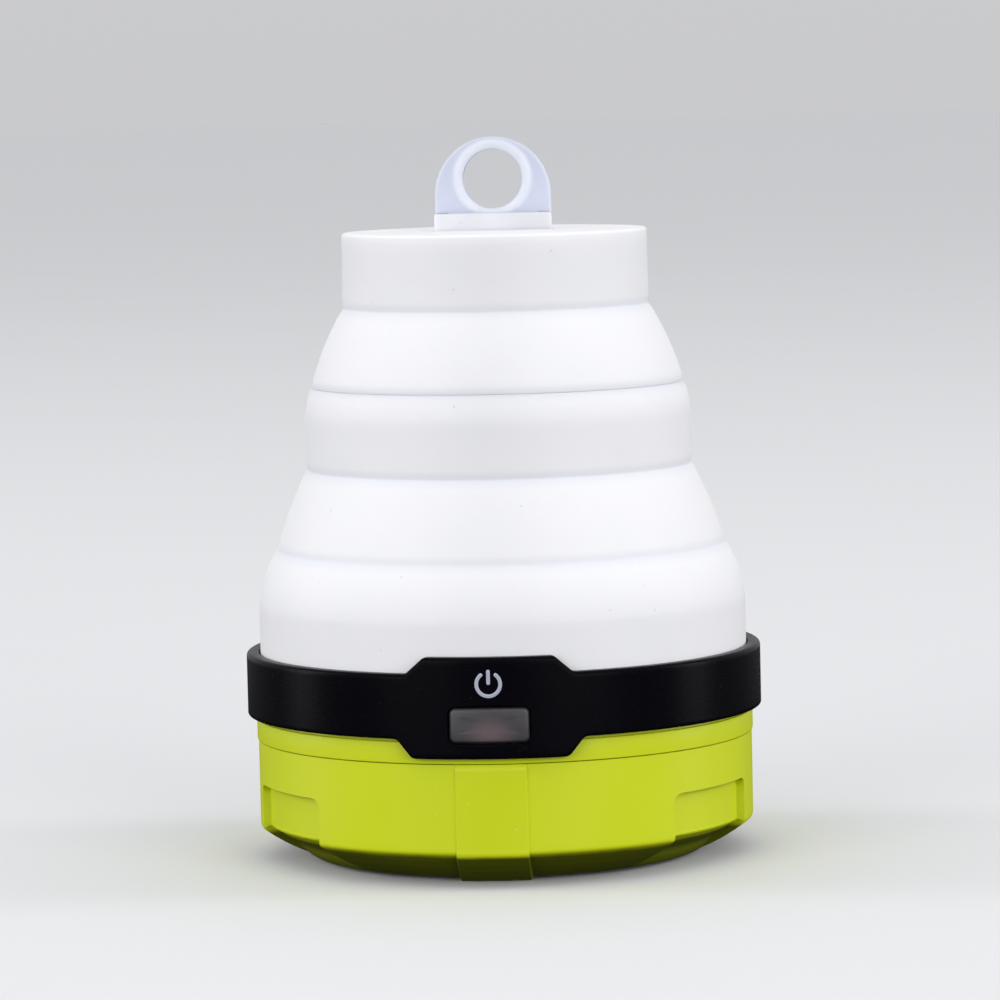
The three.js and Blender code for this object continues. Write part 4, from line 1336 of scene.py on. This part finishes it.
@dataclass
class HangTab:
    """The frosted tab that folds on its pin, with a raised rim round its eye."""

    width: float = 19.8
    foot_width: float = 15.8
    arch_height: float = 112.6
    eye_height: float = 115.35
    eye_radius: float = 5.0
    rim_radius: float = 6.5
    thickness: float = 2.0
    rim_thickness: float = 2.8
    pin_height: float = 108.3
    skirt_low: float = 109.45
    columns: int = 240

    def reach(self, angle: Array) -> Array:
        """Distance from the eye's middle to the tab's outline at each angle.

        The outline is star-shaped about the eye: an arch above, straight sides, and a foot that is narrower
        than the sides.

        Args:
            angle: Angles from +X, up being a quarter turn.

        Returns:
            Distances.
        """
        direction = np.stack([np.cos(angle), np.sin(angle)], axis=1)
        half, drop = self.width / 2, self.eye_height - self.arch_height
        along = direction[:, 1] * drop
        arch = -along + np.sqrt(np.maximum(along**2 + half**2 - drop**2, 0.0))
        across = np.maximum(np.abs(direction[:, 0]), 1e-6)
        sides = half / across
        reach = np.where(arch * direction[:, 1] > -drop, arch, sides)
        down = np.maximum(-direction[:, 1], 1e-6)
        skirt = (self.eye_height - self.skirt_low) / down
        foot_bottom = (self.eye_height - self.pin_height + self.thickness / 2) / down
        foot = np.minimum(self.foot_width / 2 / across, foot_bottom)
        return np.minimum(reach, np.maximum(np.minimum(skirt, reach), np.minimum(foot, reach)))

    def angles(self) -> Array:
        """Angles round the eye, with pairs either side of the foot's corners."""
        even = np.linspace(0, 2 * np.pi, self.columns, endpoint=False)
        half, low = self.foot_width / 2, self.skirt_low - self.eye_height
        bottom = self.pin_height - self.thickness / 2 - self.eye_height
        marks = [(self.width / 2, low), (half, low), (half, bottom)]
        corners = np.array([math.atan2(z, x) for x, z in marks] + [math.atan2(z, -x) for x, z in marks])
        near = (corners[:, None] + np.array([-0.004, 0.0, 0.004])[None]).ravel() % (2 * np.pi)
        return np.unique(np.round(np.concatenate([even, near]), 5))

    def build(self) -> None:
        """Builds the tab: rings round the eye from its wall over the front, round the edge and back."""
        angle = self.angles()
        edge = self.reach(angle)
        half, rim = self.thickness / 2, self.rim_thickness / 2
        eye, outer = self.eye_radius, self.rim_radius
        rise = np.array([[eye + 0.25, rim], [outer - 0.45, rim], [outer - 0.1, rim - 0.1],
                         [outer + 0.12, half + 0.12], [outer + 0.4, half]])
        wall = np.array([[eye, 0.0], [eye, rim - 0.25], [eye + 0.08, rim - 0.07]])
        near_eye = np.vstack([wall, rise])
        rounding = np.linspace(0, np.pi / 2, 6)
        soft = 0.5
        share = np.linspace(0, 1, 7)[1:]
        inner = np.broadcast_to(near_eye[:, :1], (len(near_eye), len(angle)))
        inner = np.minimum(inner, edge[None] - soft - 0.02)
        face = inner[-1:] + (edge[None] - soft - inner[-1:]) * share[:, None]
        lip = edge[None] - soft + soft * np.sin(rounding[1:])[:, None]
        radius = np.vstack([inner, face, lip])
        rolled = half - soft + soft * np.cos(rounding[1:])
        up = np.concatenate([near_eye[:, 1], np.full(len(share), half), rolled])
        front = np.broadcast_to(up[:, None], radius.shape)
        rings_radius = np.vstack([radius, radius[::-1][:-1]])
        depth = np.vstack([front, -front[::-1][:-1]])
        x, z = rings_radius * np.cos(angle), rings_radius * np.sin(angle) + self.eye_height
        tab = closed_surface("tab_moulding", np.stack([x, -depth, z], axis=-1), poles=False)
        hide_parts("hang_tab")
        place(tab, Body.TAB, "tab_clear",
              FrostedClear("tab_frosted", self.eye_height, self.eye_radius, self.rim_radius).build())


@dataclass
class Insides:
    """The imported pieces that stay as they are, and the finish of each."""

    dark: MouldedPlastic = MouldedPlastic(
        "plastic_dark", (0.02, 0.02, 0.023), (0.03, 0.03, 0.034), scuff=(0.1, 0.1, 0.1))
    white: MouldedPlastic = MouldedPlastic(
        "plastic_white", (0.82, 0.82, 0.82), (0.78, 0.78, 0.80), 0.3, scuff=(0.6, 0.6, 0.6))
    red: MouldedPlastic = MouldedPlastic(
        "lead_red", (0.40, 0.015, 0.015), (0.45, 0.03, 0.02), scuff=(0.5, 0.2, 0.2))
    rubber: MouldedPlastic = MouldedPlastic(
        "seal_rubber", (0.01, 0.01, 0.01), (0.016, 0.016, 0.016), 0.7, scuff=(0.05, 0.05, 0.05))

    def finishes(self) -> dict[str, bpy.types.Material]:
        """The material for each of the record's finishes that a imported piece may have."""
        return {
            "steel": PlatedSteel("plated_steel").build(),
            "board_green": CircuitBoard("circuit_board").build(),
            "plastic_dark": self.dark.build(),
            "plastic_white": self.white.build(),
            "cell_jacket": CellJacket("cell_jacket").build(),
            "led_phosphor": PhosphorGel("led_phosphor").build(),
            "seal_rubber": self.rubber.build(),
            "lead_red": self.red.build(),
        }

    def build(self, frame: Mapping[str, Any]) -> None:
        """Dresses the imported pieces.

        Args:
            frame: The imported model.
        """
        finishes = self.finishes()
        for entry in frame["record"]["subparts"]:
            material = finishes.get(entry["material_slot"])
            if material:
                dress(frame["nodes"][entry["node"]], material)
        LOG.info("insides: %d finishes", len(finishes))


# ---------------------------------------------------------------------------------------- studio


@dataclass
class Lamp:
    """One soft light: where it stands, what it looks at, its size in metres and its power in watts."""

    name: str
    place: tuple[float, float, float]
    size: tuple[float, float]
    power: float
    target: tuple[float, float, float] = (0.0, 0.0, 0.05)

    def build(self) -> None:
        """Adds the light."""
        data = bpy.data.lights.new(self.name, "AREA")
        data.shape, (data.size, data.size_y), data.energy = "RECTANGLE", self.size, self.power
        lamp = bpy.data.objects.new(self.name, data)
        lamp.location = self.place
        lamp.rotation_euler = (Vector(self.target) - lamp.location).to_track_quat("-Z", "Y").to_euler()
        bpy.context.scene.collection.objects.link(lamp)


@dataclass
class Studio:
    """A pale floor, soft lights and the camera."""

    floor_size: float = 30.0
    floor_tone: Colour = (0.80, 0.805, 0.82)
    sky: Colour = (0.98, 0.985, 1.0)
    sky_strength: float = 0.8
    horizon: float = 0.75
    ground: float = 0.02
    azimuth: float = 3.4
    elevation: float = 4.85
    distance: float = 0.85
    aim: tuple[float, float] = (0.0, 0.0604)
    roll: float = 1.31
    lens: float = 178.8
    lamps: tuple[Lamp, ...] = field(default_factory=lambda: (
        Lamp("front_left", (-1.20, -1.70, 0.52), (1.3, 1.3), 16.6),
        Lamp("front_right", (1.20, -1.70, 0.52), (1.3, 1.3), 17.6),
        Lamp("side_left", (-2.0, 0.2, 0.5), (0.6, 1.4), 15.0),
        Lamp("side_right", (2.0, 0.2, 0.5), (0.6, 1.4), 16.0),
    ))

    def floor(self) -> None:
        """Lays the floor: a wide square at z = 0 with a faint cloudy tone."""
        half = self.floor_size / 2
        corners = np.array([[-half, -half, 0], [half, -half, 0], [half, half, 0], [-half, half, 0]], float)
        floor = mesh_piece("studio_floor", corners, [[0, 1, 2, 3]])
        floor.visible_diffuse = False
        floor.visible_glossy = False
        shader = Shader("floor_pale")
        tone = shader.noise(120.0, 2.0)
        shade = tuple(0.98 * value for value in self.floor_tone)
        shader.set(base_color=shader.mix(self.floor_tone, shade, tone), roughness=0.85)
        dress(floor, shader.material)

    def world(self) -> None:
        """Lights the room with a pale sky that is dimmer at the horizon and dark below it."""
        world = bpy.data.worlds.new("studio_sky")
        world.use_nodes = True
        tree = world.node_tree
        place = tree.nodes.new("ShaderNodeTexCoord")
        split = tree.nodes.new("ShaderNodeSeparateXYZ")
        height = tree.nodes.new("ShaderNodeMapRange")
        ramp = tree.nodes.new("ShaderNodeValToRGB")
        height.inputs["From Min"].default_value = -1.0
        tree.links.new(place.outputs["Generated"], split.inputs[0])
        tree.links.new(split.outputs["Z"], height.inputs["Value"])
        tree.links.new(height.outputs["Result"], ramp.inputs["Fac"])
        background = tree.nodes["Background"]
        tree.links.new(ramp.outputs["Color"], background.inputs["Color"])
        background.inputs["Strength"].default_value = self.sky_strength
        stops = ((0.44, self.ground), (0.47, self.horizon), (0.5, self.horizon), (1.0, 1.0))
        while len(ramp.color_ramp.elements) < len(stops):
            ramp.color_ramp.elements.new(1.0)
        for element, (position, level) in zip(ramp.color_ramp.elements, stops):
            element.position = position
            element.color = (*(level * value for value in self.sky), 1.0)
        bpy.context.scene.world = world

    def camera(self) -> None:
        """Stands the camera in front, a little to the right and above, turned slightly about its view."""
        data = bpy.data.cameras.new("studio_camera")
        data.lens, data.sensor_width = self.lens, 36.0
        data.clip_start, data.clip_end = 0.01, 50.0
        camera = bpy.data.objects.new("studio_camera", data)
        turn, rise = math.radians(self.azimuth), math.radians(self.elevation)
        back = Vector((math.sin(turn) * math.cos(rise), -math.cos(turn) * math.cos(rise), math.sin(rise)))
        right = Vector((math.cos(turn), math.sin(turn), 0.0))
        across, up = self.aim
        target = right * across + Vector((0.0, 0.0, up))
        look = (-back).to_track_quat("-Z", "Y").to_matrix()
        spin = Matrix.Rotation(math.radians(-self.roll), 3, "Z")
        camera.matrix_world = Matrix.Translation(target + back * self.distance) @ (look @ spin).to_4x4()
        bpy.context.scene.collection.objects.link(camera)
        bpy.context.scene.camera = camera

    def build(self) -> None:
        """Sets up the studio."""
        self.floor()
        self.world()
        self.camera()
        for lamp in self.lamps:
            lamp.build()
        bpy.context.scene.view_settings.view_transform = "Standard"


def main() -> None:
    """Builds the lantern round its frame."""
    logging.basicConfig(level=logging.INFO, format="%(name)s: %(message)s")
    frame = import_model()
    Studio().build()
    band = ControlBand()
    BatteryCover().build()
    Housing().build(band.opening)
    band.build()
    Shade().build()
    HangTab().build()
    Insides().build(frame)


if __name__ == "__main__":
    main()
